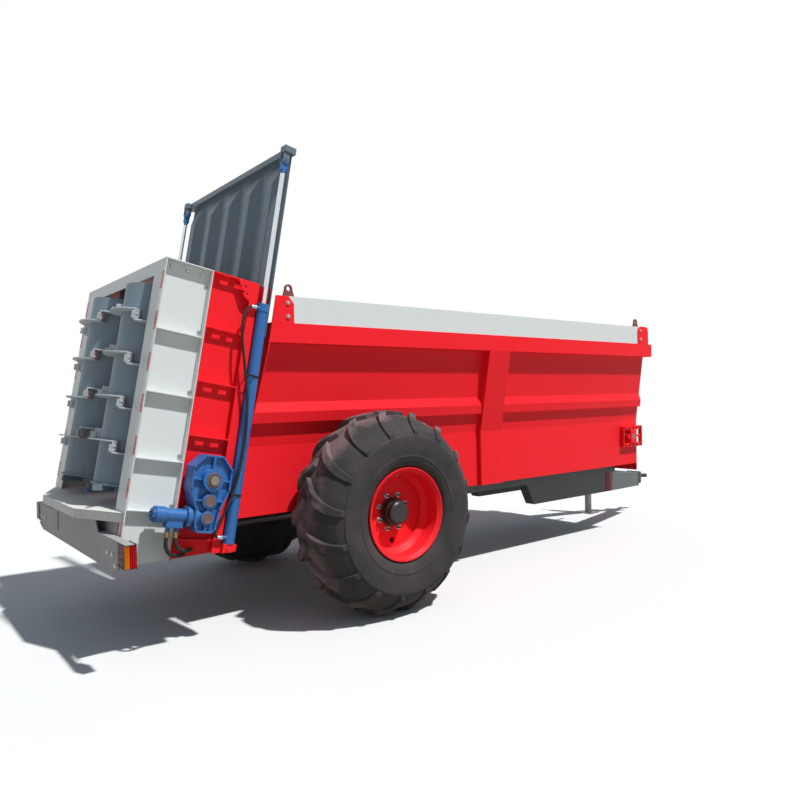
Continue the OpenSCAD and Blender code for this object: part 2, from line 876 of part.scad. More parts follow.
module tube(route, r, across) {
  last = len(route) - 1;
  rings = [
    for (i = [0:last])
      let (d = route[min(i + 1, last)] - route[max(i - 1, 0)])
        tube_ring(route[i], d / norm(d), r, across)
  ];
  sides = [
    for (i = [0:last - 1], k = [0:tube_n - 1])
      let (a = tube_n * i, b = a + tube_n, n = (k + 1) % tube_n)
        each [[a + k, b + k, b + n], [a + k, b + n, a + n]]
  ];
  ends = [
    [for (k = [0:tube_n - 1]) k],
    [for (k = [tube_n - 1:-1:0]) tube_n * last + k]
  ];
  polyhedron([for (ring = rings, p = ring) p], concat(ends, sides));
}

// Routes of the motor's hoses: along the lean, outward from the post, up from the shaft
motor_routes = [
  [
    [-225, 65, -362], [-225, 65, -405], [-221, 65, -446], [-206, 64, -480], [-180, 60, -503],
    [-148, 50, -513], [-116, 32, -515], [-88, 8, -515], [-64, -18, -515], [-49, -40, -515]
  ],
  [
    [-165, 65, -362], [-165, 65, -390], [-161, 65, -420], [-148, 64, -448], [-126, 60, -468],
    [-97, 50, -479], [-66, 32, -482], [-38, 8, -482], [-14, -18, -482], [1, -40, -482]
  ]
];
motor_hose_r = 13;

module motor_hoses() {
  color(BLACK) at_gearbox()
    for (route = motor_routes)
      tube([for (p = route) [p[0], -post_y - p[1], p[2]]], motor_hose_r, [1, 1, 1]);
}

// Cylinders

// Route of a cylinder's hose: ahead of the barrel's axis, outward from it, up along the lean
cylinder_route = [
  [-64, 18, 1862], [-94, 20, 1858], [-124, 28, 1840], [-147, 38, 1800], [-156, 44, 1745], [-152, 48, 1670],
  [-132, 52, 1560], [-80, 55, 1360], [-40, 56, 1180], [-15, 56, 930], [-22, 56, 700], [-52, 55, 520],
  [-88, 50, 390], [-116, 42, 322], [-124, 34, 276], [-112, 25, 244], [-92, 20, 234], [-64, 18, 232]
];
port_u = 62;
port_y = 18;

module cylinder_barrels() {
  color(BLUE) both_sides() leaned()
    difference() {
      union() {
        translate([barrel_u, barrel_y, barrel_w]) cylinder(r = barrel_r, h = barrel_l);
        translate([barrel_u, barrel_y, barrel_top - 60]) cylinder(r = barrel_r + collar, h = 60);
        for (w = [barrel_w + 42, barrel_top - 38])
          rod_x(barrel_y + port_y, w, 14, barrel_u - port_u, barrel_u);
      }
      translate([barrel_u, barrel_y, barrel_w + 60]) cylinder(r = rod_r + run_gap, h = barrel_l);
    }
}

module cylinder_hoses() {
  color(BLACK) both_sides() leaned()
    tube([for (p = cylinder_route) [barrel_u + p[0], barrel_y + p[1], p[2]]], hose_r, [0, 1, 0]);
}

// Door

// One clevis plate for a rod eye, hung from the door's beam
module rod_ear(y0, y1) {
  difference() {
    union() {
      box([barrel_u - 26, y0, eye_w], [barrel_u + 26, y1, door_top - door_beam_h + 1]);
      rod_y(barrel_u, eye_w, 26, y0, y1);
    }
    rod_y(barrel_u, eye_w, pin_r + run_gap, y0 - 1, y1 + 1);
  }
}

pin_r = 12;
eye_half = 16;
ear_t = 10;

module slurry_door() {
  beam_y = barrel_y + eye_half + 2 * ear_t;
  back_u = sheet_u + door_t - door_d;
  rib_y = door_rib_w / 2 + door_flank;
  rib_end = min(door_w / 2 - 50, skin_y - move_gap) - rib_y;
  rib_top = door_top - door_beam_h;
  color(SLATE) leaned() {
    box([sheet_u, -door_w / 2, door_lift], [sheet_u + door_t, door_w / 2, door_top]);
    for (i = [0:door_ribs - 1])
      translate([0, -rib_end + i * 2 * rib_end / (door_ribs - 1), 0])
        intersection() {
          along_y(-rib_y, rib_y)
            polygon([
              [back_u, door_lift], [back_u, rib_top - 190], [sheet_u + 1, rib_top - 10], [sheet_u + 1, door_lift]
            ]);
          translate([0, 0, door_lift]) linear_extrude(door_h)
            polygon([
              [back_u, -door_rib_w / 2], [back_u, door_rib_w / 2], [sheet_u + 1, rib_y], [sheet_u + 1, -rib_y]
            ]);
        }
    box([sheet_u + door_t - door_beam_d, -beam_y, rib_top], [sheet_u + door_t, beam_y, door_top]);
    both_sides() {
      // Bracket that reaches over the rod
      box([barrel_u - 26, barrel_y - eye_half - 2 * ear_t, rib_top], [sheet_u + door_t, beam_y, door_top]);
      rod_ear(barrel_y + eye_half + seat_gap, barrel_y + eye_half + ear_t);
      rod_ear(barrel_y - eye_half - ear_t, barrel_y - eye_half - seat_gap);
    }
  }
}

module cylinder_rods() {
  rod_w = barrel_w + 60 + door_travel + 2 * move_gap;
  color(STEEL) both_sides() leaned() {
    translate([barrel_u, barrel_y, rod_w]) cylinder(r = rod_r, h = eye_w - 60 - rod_w);
    box([barrel_u - 22, barrel_y - eye_half, eye_w - 75], [barrel_u + 22, barrel_y + eye_half, eye_w]);
    rod_y(barrel_u, eye_w, 22, barrel_y - eye_half, barrel_y + eye_half);
    rod_y(barrel_u, eye_w, pin_r, barrel_y - eye_half - ear_t - 4, barrel_y + eye_half + ear_t + 4);
  }
}

// Beaters

module at_beater(s) {
  leaned() translate([beater_u, s * beater_y, 0]) children();
}

module beater_drum(s) {
  paddle_r = sweep_r - 20;
  color(SLATE) at_beater(s) {
    translate([0, 0, drum_w0]) cylinder(r = drum_r, h = drum_w1 - drum_w0);
    translate([0, 0, drum_w0 - 12]) cylinder(r = drum_r + 14, h = 13);
    translate([0, 0, drum_w0 - paddle_h]) cylinder(r = 120, h = paddle_h);
    translate([0, 0, case_w0 + 20]) cylinder(r = beater_shaft_r, h = frame_h + 20 - case_w0);
    // Throwing paddles under the drum
    for (a = [0:90:270])
      rotate([0, 0, a + 30]) box([100, -6, drum_w0 - paddle_h], [paddle_r, 6, drum_w0 - 11]);
  }
}

module beater_drum_right() {
  beater_drum(-1);
}

module beater_drum_left() {
  beater_drum(1);
}

// Flat quarter rings that climb in steps, each joined to the next by an upright plate with a blade
module beater_flights(s) {
  r0 = drum_r + seat_gap;
  n = floor((drum_w1 - 30 - flight_w0) / step_h);
  color(SLATE) at_beater(s) on_side(s)
    for (i = [0:n - 1]) {
      w = flight_w0 + i * step_h;
      rotate([0, 0, 90 * i + 45]) {
        rotate_extrude(angle = 90) translate([r0, w]) square([flight_r - r0, flight_t]);
        if (i < n - 1)
          rotate([0, 0, 90]) {
            box([r0 + 6, -flight_t, w], [flight_r, 0, w + step_h + flight_t]);
            box([flight_r - 30, -flight_t, w + 10], [sweep_r, 0, w + 60]);
          }
      }
    }
}

module beater_flights_right() {
  beater_flights(-1);
}

module beater_flights_left() {
  beater_flights(1);
}

// Driveline

module driveline() {
  x0 = stub_x + 60 * sin(lean) + 2 * move_gap;
  color(STEEL) {
    rod_x(0, line_z, line_r, x0, tub_front - 30);
    rod_x(0, line_z, 50, x0, x0 + 90);
    rod_x(0, line_z, 17.45, tub_front - 31, tub_front + 140);
  }
}

module driveline_bearings() {
  color(DARK)
    for (b = [[tub_front - 150, draw_z], [640, chassis_top - 120]])
      difference() {
        box([b[0], -70, line_z - 70], [b[0] + 60, 70, b[1]]);
        rod_x(0, line_z, line_r + run_gap, b[0] - 10, b[0] + 100);
      }
}

// Wheels

module at_wheel(s) {
  translate([0, s * half_track, axle_z]) on_side(s) rotate([-90, 0, 0]) children();
}

seat_r = rim_d / 2 - 28;
well_r = seat_r - 40;

// A lug's cross-section where it crosses the tread: side way z, height r, place along the tread a
function lug_station(z, r, a, r_in, w) = [
  for (k = [[r_in, -0.62], [r_in, 0.62], [r, 0.5], [r, -0.5]])
    let (b = a + k[1] * w / r * 180 / PI) [k[0] * cos(b), k[0] * sin(b), z]
];

// Where a lug crosses the tread: side way, drop below the crown, degrees along the tread, depth, width
lug_table = [
  [-0.05, 0, 0, 60, 0.9], [0.41, 3, -9, 62, 1], [0.67, 62, -13, 60, 1], [0.985, 152, -15, 72, 0.6]
];

module lug() {
  r1 = tyre_d / 2;
  stations = [
    for (t = lug_table)
      lug_station(t[0] * tyre_w / 2, r1 - t[1], t[2], r1 - t[1] - t[3], lug_w * t[4])
  ];
  for (i = [0:len(stations) - 2])
    hull()
      polyhedron(concat(stations[i], stations[i + 1]), [[0, 1, 2, 3], [7, 6, 5, 4], [0, 4, 5, 1],
        [1, 5, 6, 2], [2, 6, 7, 3], [3, 7, 4, 0]]);
}

carcass_n = 28;

module tyre(s) {
  rw = rim_w / 2;
  tw = tyre_w / 2;
  r1 = tyre_d / 2 - lug_h;
  r0 = rim_d / 2;
  // The bead's flats lie on the rim's seat
  bead_r = (seat_r + seat_gap) / cos(180 / carcass_n);
  half = [
    [bead_r, rw - 24], [r0 + 8, rw - 20], [r0 + 60, tw - 6], [r1 - 162, tw], [r1 - 125, tw * 0.93],
    [r1 - 67, tw * 0.75], [r1 - 19, tw * 0.51], [r1, tw * 0.31]
  ];
  color(BLACK) at_wheel(s) {
    rotate_extrude($fn = carcass_n)
      polygon(concat(half, [for (i = [len(half) - 1:-1:0]) [half[i][0], -half[i][1]]]));
    for (i = [0:lugs - 1]) {
      rotate([0, 0, 90 + 360 / lugs * i]) lug();
      rotate([0, 0, 90 + 360 / lugs * (i + 0.5)]) mirror([0, 0, 1]) lug();
    }
  }
}

module tyre_right() {
  tyre(-1);
}

module tyre_left() {
  tyre(1);
}

disc_z = 45;
hub_hole = 110;

module rim(s) {
  rw = rim_w / 2;
  r0 = rim_d / 2;
  t = 10;
  color(RED) at_wheel(s) difference() {
    rotate_extrude()
      polygon([
        [r0, -rw], [r0, -rw + 16], [seat_r, -rw + 24], [seat_r, -rw + 130], [well_r, -rw + 170],
        [well_r, rw - 170], [seat_r, rw - 130], [seat_r, rw - 24], [r0, rw - 16], [r0, rw],
        [r0 - t, rw], [seat_r - t, rw - 24], [seat_r - t, rw - 135], [well_r - t, rw - 175],
        [well_r - t, disc_z + 16], [hub_hole + seat_gap, disc_z + 16], [hub_hole + seat_gap, disc_z],
        [well_r - t, disc_z],
        [well_r - t, -rw + 175], [seat_r - t, -rw + 135], [seat_r - t, -rw + 24], [r0 - t, -rw]
      ]);
    for (i = [0:studs - 1])
      rotate([0, 0, (i + 0.5) * 360 / studs]) translate([137, 0, disc_z - 5])
        cylinder(r = 15 + seat_gap, h = 40);
    translate([0, 222, disc_z - 5]) cylinder(r = 22, h = 40);
  }
}

module rim_right() {
  rim(-1);
}

module rim_left() {
  rim(1);
}

module hub(s) {
  stud_r = 137;
  color(BLACK) at_wheel(s) difference() {
    union() {
      translate([0, 0, disc_z - 20]) cylinder(r = 180, h = 20);
      translate([0, 0, disc_z - 1]) cylinder(r = hub_hole, h = 30);
      translate([0, 0, disc_z + 28]) cylinder(r1 = 105, r2 = 98, h = 50);
      translate([0, 0, disc_z + 77]) cylinder(r = 88, h = 38);
      translate([0, 0, disc_z + 114]) cylinder(r1 = 88, r2 = 74, h = 11);
      for (i = [0:studs - 1])
        rotate([0, 0, (i + 0.5) * 360 / studs]) translate([stud_r, 0, disc_z - 1]) {
          cylinder(r = 15, h = 17 + 22);
          cylinder(r = 9, h = 17 + 40);
        }
    }
    translate([0, 0, disc_z - 30]) cylinder(r = 45 + run_gap, h = 120);
  }
}

module hub_right() {
  hub(-1);
}

module hub_left() {
  hub(1);
}

placed() {
  chassis_rails();
  cross_members();
  drawbar_rails();
  drawbar_head();
  hitch_eye();
  jack_tube();
  axle();
  tub_floor();
  side_wall_right();
  side_wall_left();
  front_wall();
  side_boards();
  front_board();
  lifting_eyes();
  chain_tensioners();
  floor_conveyor();
  front_shaft();
  rear_shaft();
  rear_post_right();
  rear_post_left();
  beater_panel_right();
  beater_panel_left();
  top_beam();
  deck();
  bumper();
  tail_lamps();
  beater_gearboxes();
  conveyor_gearbox();
  hydraulic_motor();
  motor_hoses();
  cylinder_barrels();
  cylinder_hoses();
  driveline_bearings();
  slurry_door();
  cylinder_rods();
  beater_drum_right();
  beater_flights_right();
  beater_drum_left();
  beater_flights_left();
  driveline();
  hub_right();
  rim_right();
  tyre_right();
  hub_left();
  rim_left();
  tyre_left();
  jack_leg();
}
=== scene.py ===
# %% [markdown]
# # Manure spreader, dressed
# The machine is a farm trailer: a red pressed-steel tub on one axle, with a floor conveyor, a leaning
# rear frame that holds two upright beaters, and a door that two long cylinders lift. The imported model
# brings every rigid piece at its true size and place. This file gives each piece its finish, adds the
# small things that a maker bolts, ties or sticks on, and sets the camera and the light.

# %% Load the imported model
import json
import math

import bmesh
import bpy
from mathutils import Matrix, Vector


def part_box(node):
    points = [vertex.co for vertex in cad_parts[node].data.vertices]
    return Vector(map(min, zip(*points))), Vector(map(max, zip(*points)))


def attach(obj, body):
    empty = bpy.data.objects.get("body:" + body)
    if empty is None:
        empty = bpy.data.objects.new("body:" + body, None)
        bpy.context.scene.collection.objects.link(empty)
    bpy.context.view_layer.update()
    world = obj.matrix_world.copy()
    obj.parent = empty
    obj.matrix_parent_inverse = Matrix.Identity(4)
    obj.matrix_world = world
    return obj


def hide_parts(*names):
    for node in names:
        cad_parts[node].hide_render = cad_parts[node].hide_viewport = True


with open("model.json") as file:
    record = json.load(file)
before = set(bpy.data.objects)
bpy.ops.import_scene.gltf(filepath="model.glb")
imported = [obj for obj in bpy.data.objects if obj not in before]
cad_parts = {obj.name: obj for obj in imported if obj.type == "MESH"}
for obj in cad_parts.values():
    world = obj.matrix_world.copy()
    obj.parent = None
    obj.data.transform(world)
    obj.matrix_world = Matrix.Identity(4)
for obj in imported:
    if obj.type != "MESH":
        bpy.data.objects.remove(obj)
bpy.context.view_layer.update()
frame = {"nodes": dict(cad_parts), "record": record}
nodes = frame["nodes"]
scene = bpy.context.scene

# %% [markdown]
# ## Where things are
# The source draws the machine from its axle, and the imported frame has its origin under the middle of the
# length. The wheel's box gives the axle's place, so a point of the source can be written here as it is
# there. The rear frame leans forward, so it has two directions of its own: u runs forward and w runs up
# along the lean. The right beater's joint knows that lean, so it is read from there and not typed in
# twice.

# %% Places
MM = 0.001
SIDES = {"right": -1, "left": 1}
tyre_low, tyre_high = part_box("tyre_left")
axle_x = (tyre_low.x + tyre_high.x) / 2
axle_z = (tyre_low.z + tyre_high.z) / 2
half_track = (tyre_low.y + tyre_high.y) / 2
joints = {joint["name"]: joint for joint in frame["record"]["behaviour"]["joints"]}
beater_joint = joints["beater_right_spin"]
lean_axis = Vector(beater_joint["axis"])
lean_turn = Matrix.Rotation(math.atan2(lean_axis.x, lean_axis.z), 4, "Y")
BEATER_U = 150
BEATER_PIVOT_W = 500
pivot = Vector(beater_joint["pos_m"])
frame_foot = (Matrix.Translation((pivot.x, 0, pivot.z)) @ lean_turn
              @ Matrix.Translation((-BEATER_U * MM, 0, -BEATER_PIVOT_W * MM)))
shaft_low, shaft_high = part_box("rear_shaft")
shaft_middle = (shaft_low + shaft_high) / 2
gearbox_place = Matrix.Translation((shaft_middle.x, 0, shaft_middle.z)) @ lean_turn


def machine(x, y, z):
    """A point in millimetres from the axle, as the source has it."""
    return Vector((axle_x + x * MM, y * MM, z * MM))


def leaning(u, y, w):
    """A point of the leaning rear frame in millimetres."""
    return frame_foot @ Vector((u * MM, y * MM, w * MM))


def at_gearbox(x, y, z):
    """A point in millimetres from the rear shaft, turned with the lean."""
    return gearbox_place @ Vector((x * MM, y * MM, z * MM))


lean_u = lean_turn @ Vector((1, 0, 0))
lean_deg = math.degrees(lean_axis.angle((0, 0, 1)))
print("axle at", round(axle_x, 4), round(axle_z, 4), "lean", round(lean_deg, 2))

# %% [markdown]
# ## Colours and nodes
# Colours are read off the real finish as sRGB hex values, and Blender's sockets want linear light, so one
# function turns one into the other. A second small function adds any shader node: it sets the node's own
# settings, then fills its inputs with values or with another node's output. Some inputs have no name of
# their own and go by number: a Mix node for colour takes its share at 0 and its two colours at 6 and 7,
# and gives the result at output 2.

# %% Colour and node helpers
MULTIPLY = {"operation": "MULTIPLY"}
MAXIMUM = {"operation": "MAXIMUM"}
COLOUR = {"data_type": "RGBA"}


def linear(hex_colour):
    """The linear colour of an sRGB hex value, by the curve of the sRGB standard."""
    channels = [int(hex_colour[i:i + 2], 16) / 255 for i in (1, 3, 5)]
    return [c / 12.92 if c <= 0.04045 else ((c + 0.055) / 1.055) ** 2.4 for c in channels] + [1.0]


def toned(colour, share):
    """A linear colour with its light cut to a share."""
    return [c * share for c in colour[:3]] + [1.0]


def add(tree, kind, settings=None, inputs=None):
    """Adds a node of a kind to a tree; settings are its own choices, inputs are values or other outputs."""
    node = tree.nodes.new("ShaderNode" + kind)
    for name, value in (settings or {}).items():
        setattr(node, name, value)
    for name, value in (inputs or {}).items():
        if isinstance(value, bpy.types.NodeSocket):
            tree.links.new(value, node.inputs[name])
        else:
            node.inputs[name].default_value = value
    return node


def new_material(name):
    """A fresh material, with its tree of nodes and the surface shader in it."""
    material = bpy.data.materials.new(name)
    material.use_nodes = True
    print("material:", name)
    return material, material.node_tree, material.node_tree.nodes["Principled BSDF"]


print("mid grey #808080 is", round(linear("#808080")[0], 3), "in linear light")

# %% [markdown]
# ## Enamel on pressed steel
# Almost everything here is sprayed alkyd enamel over steel sheet. It gives the eye a saturated colour, a
# soft gloss, a slight orange-peel ripple, road dust that settles low down and runs in streaks, and paint
# rubbed thin along the edges. One function makes it for each colour. A Bevel node looks at the surface a
# few millimetres round each point: where its normal leaves the true one there is an edge, so it both
# rounds the edge for the light and says where the paint is worn. Orange peel is about 2 mm wide on the
# real paint, which is too fine for this picture, so it is drawn ten times coarser. Streaks are plain
# noise, squeezed in height so that it is drawn out into runs.

# %% Enamel
PEEL_MM = 20
CLOUD_MM = 420
SPECK_MM = 16
STREAK_MM = 45
EDGE_MM = 6
RUN_SQUEEZE = 0.06
CHALK = 0.9
BLUE = "#1B62A4"


def enamel(name, colour, worn="#5A4A42", dust_colour="#8A7A68", dust=0.25, dust_top=1.2, roughness=0.38,
           faded=0.06, wear=0.35, gloss=0.4):
    """Sprayed enamel. Dust settles up to the height dust_top in metres; wear is how bare the edges are."""
    material, tree, shader = new_material(name)
    place = add(tree, "TexCoord").outputs["Object"]
    cloud = add(tree, "TexNoise", inputs={"Vector": place, "Scale": 1000 / CLOUD_MM, "Detail": 4.0})
    speck = add(tree, "TexNoise", inputs={"Vector": place, "Scale": 1000 / SPECK_MM, "Detail": 6.0})
    stretch = add(tree, "Mapping", inputs={"Vector": place, "Scale": (1.0, 1.0, RUN_SQUEEZE)})
    streak = add(tree, "TexNoise", inputs={
        "Vector": stretch.outputs["Vector"], "Scale": 1000 / STREAK_MM, "Detail": 3.0})
    height = add(tree, "SeparateXYZ", inputs={"Vector": place})
    low = add(tree, "MapRange", {"interpolation_type": "SMOOTHSTEP"}, {
        "Value": height.outputs["Z"], "From Min": dust_top, "From Max": 0.35, "To Min": 0.12, "To Max": 1.0})
    runs = add(tree, "MapRange", inputs={
        "Value": streak.outputs["Fac"], "From Min": 0.42, "From Max": 0.7, "To Min": 0.25, "To Max": 1.0})
    grit = add(tree, "MapRange", inputs={
        "Value": speck.outputs["Fac"], "From Min": 0.35, "From Max": 0.75, "To Min": 0.35, "To Max": 1.0})
    settled = add(tree, "Math", MULTIPLY, {0: low.outputs["Result"], 1: runs.outputs["Result"]})
    gritty = add(tree, "Math", MULTIPLY, {0: settled.outputs[0], 1: grit.outputs["Result"]})
    amount = add(tree, "Math", {"operation": "MULTIPLY", "use_clamp": True}, {
        0: gritty.outputs[0], 1: dust * 2})
    true_normal = add(tree, "NewGeometry").outputs["Normal"]
    rounded = add(tree, "Bevel", {"samples": 4}, {"Radius": EDGE_MM * MM})
    agree = add(tree, "VectorMath", {"operation": "DOT_PRODUCT"}, {
        0: true_normal, 1: rounded.outputs["Normal"]})
    edge = add(tree, "MapRange", inputs={
        "Value": agree.outputs["Value"], "From Min": 0.995, "From Max": 0.8, "To Min": 0.0, "To Max": wear})
    chipped = add(tree, "Math", MULTIPLY, {0: edge.outputs["Result"], 1: grit.outputs["Result"]})
    clean = linear(colour)
    pale = [c + (CHALK - c) * faded for c in clean[:3]] + [1.0]
    paint = add(tree, "Mix", COLOUR, {0: cloud.outputs["Fac"], 6: clean, 7: pale})
    rubbed = add(tree, "Mix", COLOUR, {0: chipped.outputs[0], 6: paint.outputs[2], 7: linear(worn)})
    surface = add(tree, "Mix", COLOUR, {0: amount.outputs[0], 6: rubbed.outputs[2], 7: linear(dust_colour)})
    shine = add(tree, "MapRange", inputs={
        "Value": amount.outputs[0], "From Min": 0.0, "From Max": 0.6, "To Min": roughness, "To Max": 0.85})
    peel = add(tree, "TexNoise", inputs={"Vector": place, "Scale": 1000 / PEEL_MM, "Detail": 2.0})
    ripple = add(tree, "Bump", inputs={
        "Height": peel.outputs["Fac"], "Strength": 0.06, "Distance": 4 * MM,
        "Normal": rounded.outputs["Normal"]})
    shader.inputs["Specular IOR Level"].default_value = gloss
    tree.links.new(surface.outputs[2], shader.inputs["Base Color"])
    tree.links.new(shine.outputs["Result"], shader.inputs["Roughness"])
    tree.links.new(ripple.outputs["Normal"], shader.inputs["Normal"])
    return material


red_enamel = enamel("red enamel on steel sheet", "#F21A26", worn="#8A1C20", dust=0.06, faded=0.008,
                    gloss=0.14, roughness=0.48)
pale_enamel = enamel("pale grey enamel on steel sheet", "#D2D7D5", worn="#8A5A50", dust=0.16, roughness=0.42)
panel_enamel = enamel("pale grey enamel rusting at its edges", "#D4D8D6", worn="#8E4640", dust=0.16,
                      roughness=0.42, wear=0.6)
deck_enamel = enamel("pale grey enamel under field dirt", "#D6D5D0", dust=0.16, dust_colour="#7A6660",
                     dust_top=2.4, roughness=0.6)
# The bumper carries the same pale grey paint as the panels; its colour is set darker as painted shade, since
# it faces the rear under the deck, and road dust lies on it too.
bumper_shade_and_dust_enamel = enamel("pale grey enamel darkened as painted shade, under road dust", "#9A9897", dust=0.2, dust_colour="#7C7471",
                       dust_top=1.6, roughness=0.6)
slate_enamel = enamel("slate enamel on steel sheet", "#546672", dust=0.2, dust_top=3.6, dust_colour="#565C5A",
                      roughness=0.42)
# The drums wear the same pale grey paint as the panels and flights; their colour is set to a darker blue-grey
# as painted shade inside the rear frame.
drum_shade_enamel = enamel("worn grey enamel on rolled plate", "#71838F", worn="#A4ACB0", dust=0.24, dust_top=2.6,
                     dust_colour="#6A5F58", roughness=0.5)
flight_enamel = enamel("pale grey enamel on cut plate", "#BAC2C4", worn="#E0E2DE", dust=0.2, dust_top=2.2,
                       dust_colour="#7A6A60", roughness=0.5, wear=0.6)
dark_enamel = enamel("dark grey chassis enamel", "#3E4646", dust=0.12, dust_colour="#6A655D", roughness=0.5)
black_enamel = enamel("black enamel on forged steel", "#1A1719", worn="#4A443F", dust=0.1, roughness=0.35,
                      faded=0.01)
blue_enamel = enamel("blue enamel on cast iron", BLUE, worn="#16406E", dust=0.12, roughness=0.36, faded=0.02)
maroon_enamel = enamel("maroon enamel band", "#7E101C", dust=0.04, faded=0.01, gloss=0.12)
rusty_enamel = enamel("thin red enamel over rust", "#7C2C2A", worn="#4A3028", dust=0.4, dust_colour="#5A3A34",
                      dust_top=4.0, roughness=0.7, wear=0.8)

# %% [markdown]
# ## Metal, rubber and lens plastic
# Worn steel on the conveyor is brushed by the load, zinc shows on bolt heads, and brass on the hose ends.
# Tyre rubber is black when new; in a field it turns a dusty grey-brown in patches about as long as a
# hand, most of all on the tread. Reflective tape is a clear film over small cells, 4 mm wide in truth and
# drawn at 12 mm to show. The lamp lenses are moulded polycarbonate: clear colour, a wet gloss and fine
# flutes, which are 3 mm wide on the real lens and drawn at 8 mm to show. A Wave texture of scale 1 has a
# band every tau / 20 units, so that factor turns a spacing into a scale.

# %% Metal, rubber and lens plastic
PATCH_MM = 180
CELL_MM = 12
FLUTE_MM = 8
WAVE_UNIT = math.tau / 20
POLYCARBONATE_IOR = 1.58


def metal(name, colour, roughness, grain_mm, grain_depth):
    """Bare metal with a grain that changes its tone, its gloss and its surface together."""
    material, tree, shader = new_material(name)
    place = add(tree, "TexCoord").outputs["Object"]
    grain = add(tree, "TexNoise", inputs={"Vector": place, "Scale": 1000 / grain_mm, "Detail": 5.0})
    shine = add(tree, "MapRange", inputs={
        "Value": grain.outputs["Fac"], "To Min": roughness * 0.8, "To Max": roughness * 1.3})
    bright = linear(colour)
    tint = add(tree, "Mix", COLOUR, {0: grain.outputs["Fac"], 6: bright, 7: toned(bright, 0.7)})
    scratch = add(tree, "Bump", inputs={
        "Height": grain.outputs["Fac"], "Strength": grain_depth, "Distance": MM})
    shader.inputs["Metallic"].default_value = 1.0
    tree.links.new(tint.outputs[2], shader.inputs["Base Color"])
    tree.links.new(shine.outputs["Result"], shader.inputs["Roughness"])
    tree.links.new(scratch.outputs["Normal"], shader.inputs["Normal"])
    return material


def rubber(name, colour, dust_colour, dust, grain_mm, tread=None):
    """Dusty rubber; where tread gives two radii from the axle, mud builds up from the first to the second."""
    material, tree, shader = new_material(name)
    place = add(tree, "TexCoord").outputs["Object"]
    grain = add(tree, "TexNoise", inputs={"Vector": place, "Scale": 1000 / grain_mm, "Detail": 6.0})
    patch = add(tree, "TexNoise", inputs={"Vector": place, "Scale": 1000 / PATCH_MM, "Detail": 5.0})
    amount = add(tree, "MapRange", inputs={
        "Value": patch.outputs["Fac"], "From Min": 0.35, "From Max": 0.7,
        "To Min": 0.25 * dust, "To Max": dust})
    cover = amount.outputs["Result"]
    if tread:
        away = add(tree, "VectorMath", {"operation": "SUBTRACT"}, {0: place, 1: (axle_x, 0, axle_z)})
        upright = add(tree, "VectorMath", MULTIPLY, {0: away.outputs[0], 1: (1, 0, 1)})
        radius = add(tree, "VectorMath", {"operation": "LENGTH"}, {0: upright.outputs[0]})
        reach = add(tree, "MapRange", inputs={
            "Value": radius.outputs["Value"], "From Min": tread[0], "From Max": tread[1], "To Max": 0.8})
        broken = add(tree, "MapRange", inputs={
            "Value": patch.outputs["Fac"], "From Min": 0.4, "From Max": 0.56, "To Min": 0.2, "To Max": 1.0})
        mud = add(tree, "Math", MULTIPLY, {0: reach.outputs["Result"], 1: broken.outputs["Result"]})
        most = add(tree, "Math", MAXIMUM, {0: cover, 1: mud.outputs[0]})
        cover = most.outputs[0]
    tint = add(tree, "Mix", COLOUR, {0: cover, 6: linear(colour), 7: linear(dust_colour)})
    skin = add(tree, "Bump", inputs={"Height": grain.outputs["Fac"], "Strength": 0.25, "Distance": 3 * MM})
    shader.inputs["Roughness"].default_value = 0.85
    shader.inputs["Specular IOR Level"].default_value = 0.3
    tree.links.new(tint.outputs[2], shader.inputs["Base Color"])
    tree.links.new(skin.outputs["Normal"], shader.inputs["Normal"])
    return material


def lens(name, colour):
    """Moulded lens plastic with level flutes."""
    material, tree, shader = new_material(name)
    place = add(tree, "TexCoord").outputs["Object"]
    flutes = add(tree, "TexWave", {"bands_direction": "Z"}, {
        "Vector": place, "Scale": 1000 / FLUTE_MM * WAVE_UNIT, "Distortion": 0.0})
    clear = linear(colour)
    tint = add(tree, "Mix", COLOUR, {0: flutes.outputs["Fac"], 6: clear, 7: toned(clear, 0.6)})
    ridges = add(tree, "Bump", inputs={"Height": flutes.outputs["Fac"], "Strength": 0.4, "Distance": 2 * MM})
    shader.inputs["Roughness"].default_value = 0.12
    shader.inputs["IOR"].default_value = POLYCARBONATE_IOR
    shader.inputs["Specular IOR Level"].default_value = 0.06
    tree.links.new(tint.outputs[2], shader.inputs["Base Color"])
    tree.links.new(ridges.outputs["Normal"], shader.inputs["Normal"])
    return material


def reflective_tape(name, colour):
    """Reflective film, with soil in the seams between its cells."""
    material, tree, shader = new_material(name)
    place = add(tree, "TexCoord").outputs["Object"]
    cells = add(tree, "TexVoronoi", {"feature": "DISTANCE_TO_EDGE"}, {
        "Vector": place, "Scale": 1000 / CELL_MM})
    seam = add(tree, "MapRange", inputs={"Value": cells.outputs["Distance"], "From Max": 0.12})
    clean = linear(colour)
    tint = add(tree, "Mix", COLOUR, {0: seam.outputs["Result"], 6: toned(clean, 0.75), 7: clean})
    shader.inputs["Roughness"].default_value = 0.25
    tree.links.new(tint.outputs[2], shader.inputs["Base Color"])
    return material


worn_steel = metal("worn mild steel", "#8E8A84", 0.42, 35, 0.08)
zinc = metal("zinc-plated steel", "#B4B6B4", 0.36, 20, 0.04)
brass = metal("tarnished brass", "#9A8058", 0.4, 15, 0.03)
rusted_steel = metal("rusted turned steel", "#7A6862", 0.65, 12, 0.2)
tread_rubber = rubber("tyre rubber, dusty on the tread", "#252929", "#7E696A", 0.2, 14, (0.70, 0.75))
hose_rubber = rubber("hydraulic hose rubber", "#1B1B1D", "#6A625A", 0.2, 10)
lamp_plastic = rubber("black moulded lamp housing", "#1A1A1C", "#5A544C", 0.25, 8)
red_lens = lens("red moulded polycarbonate lens", "#C0101C")
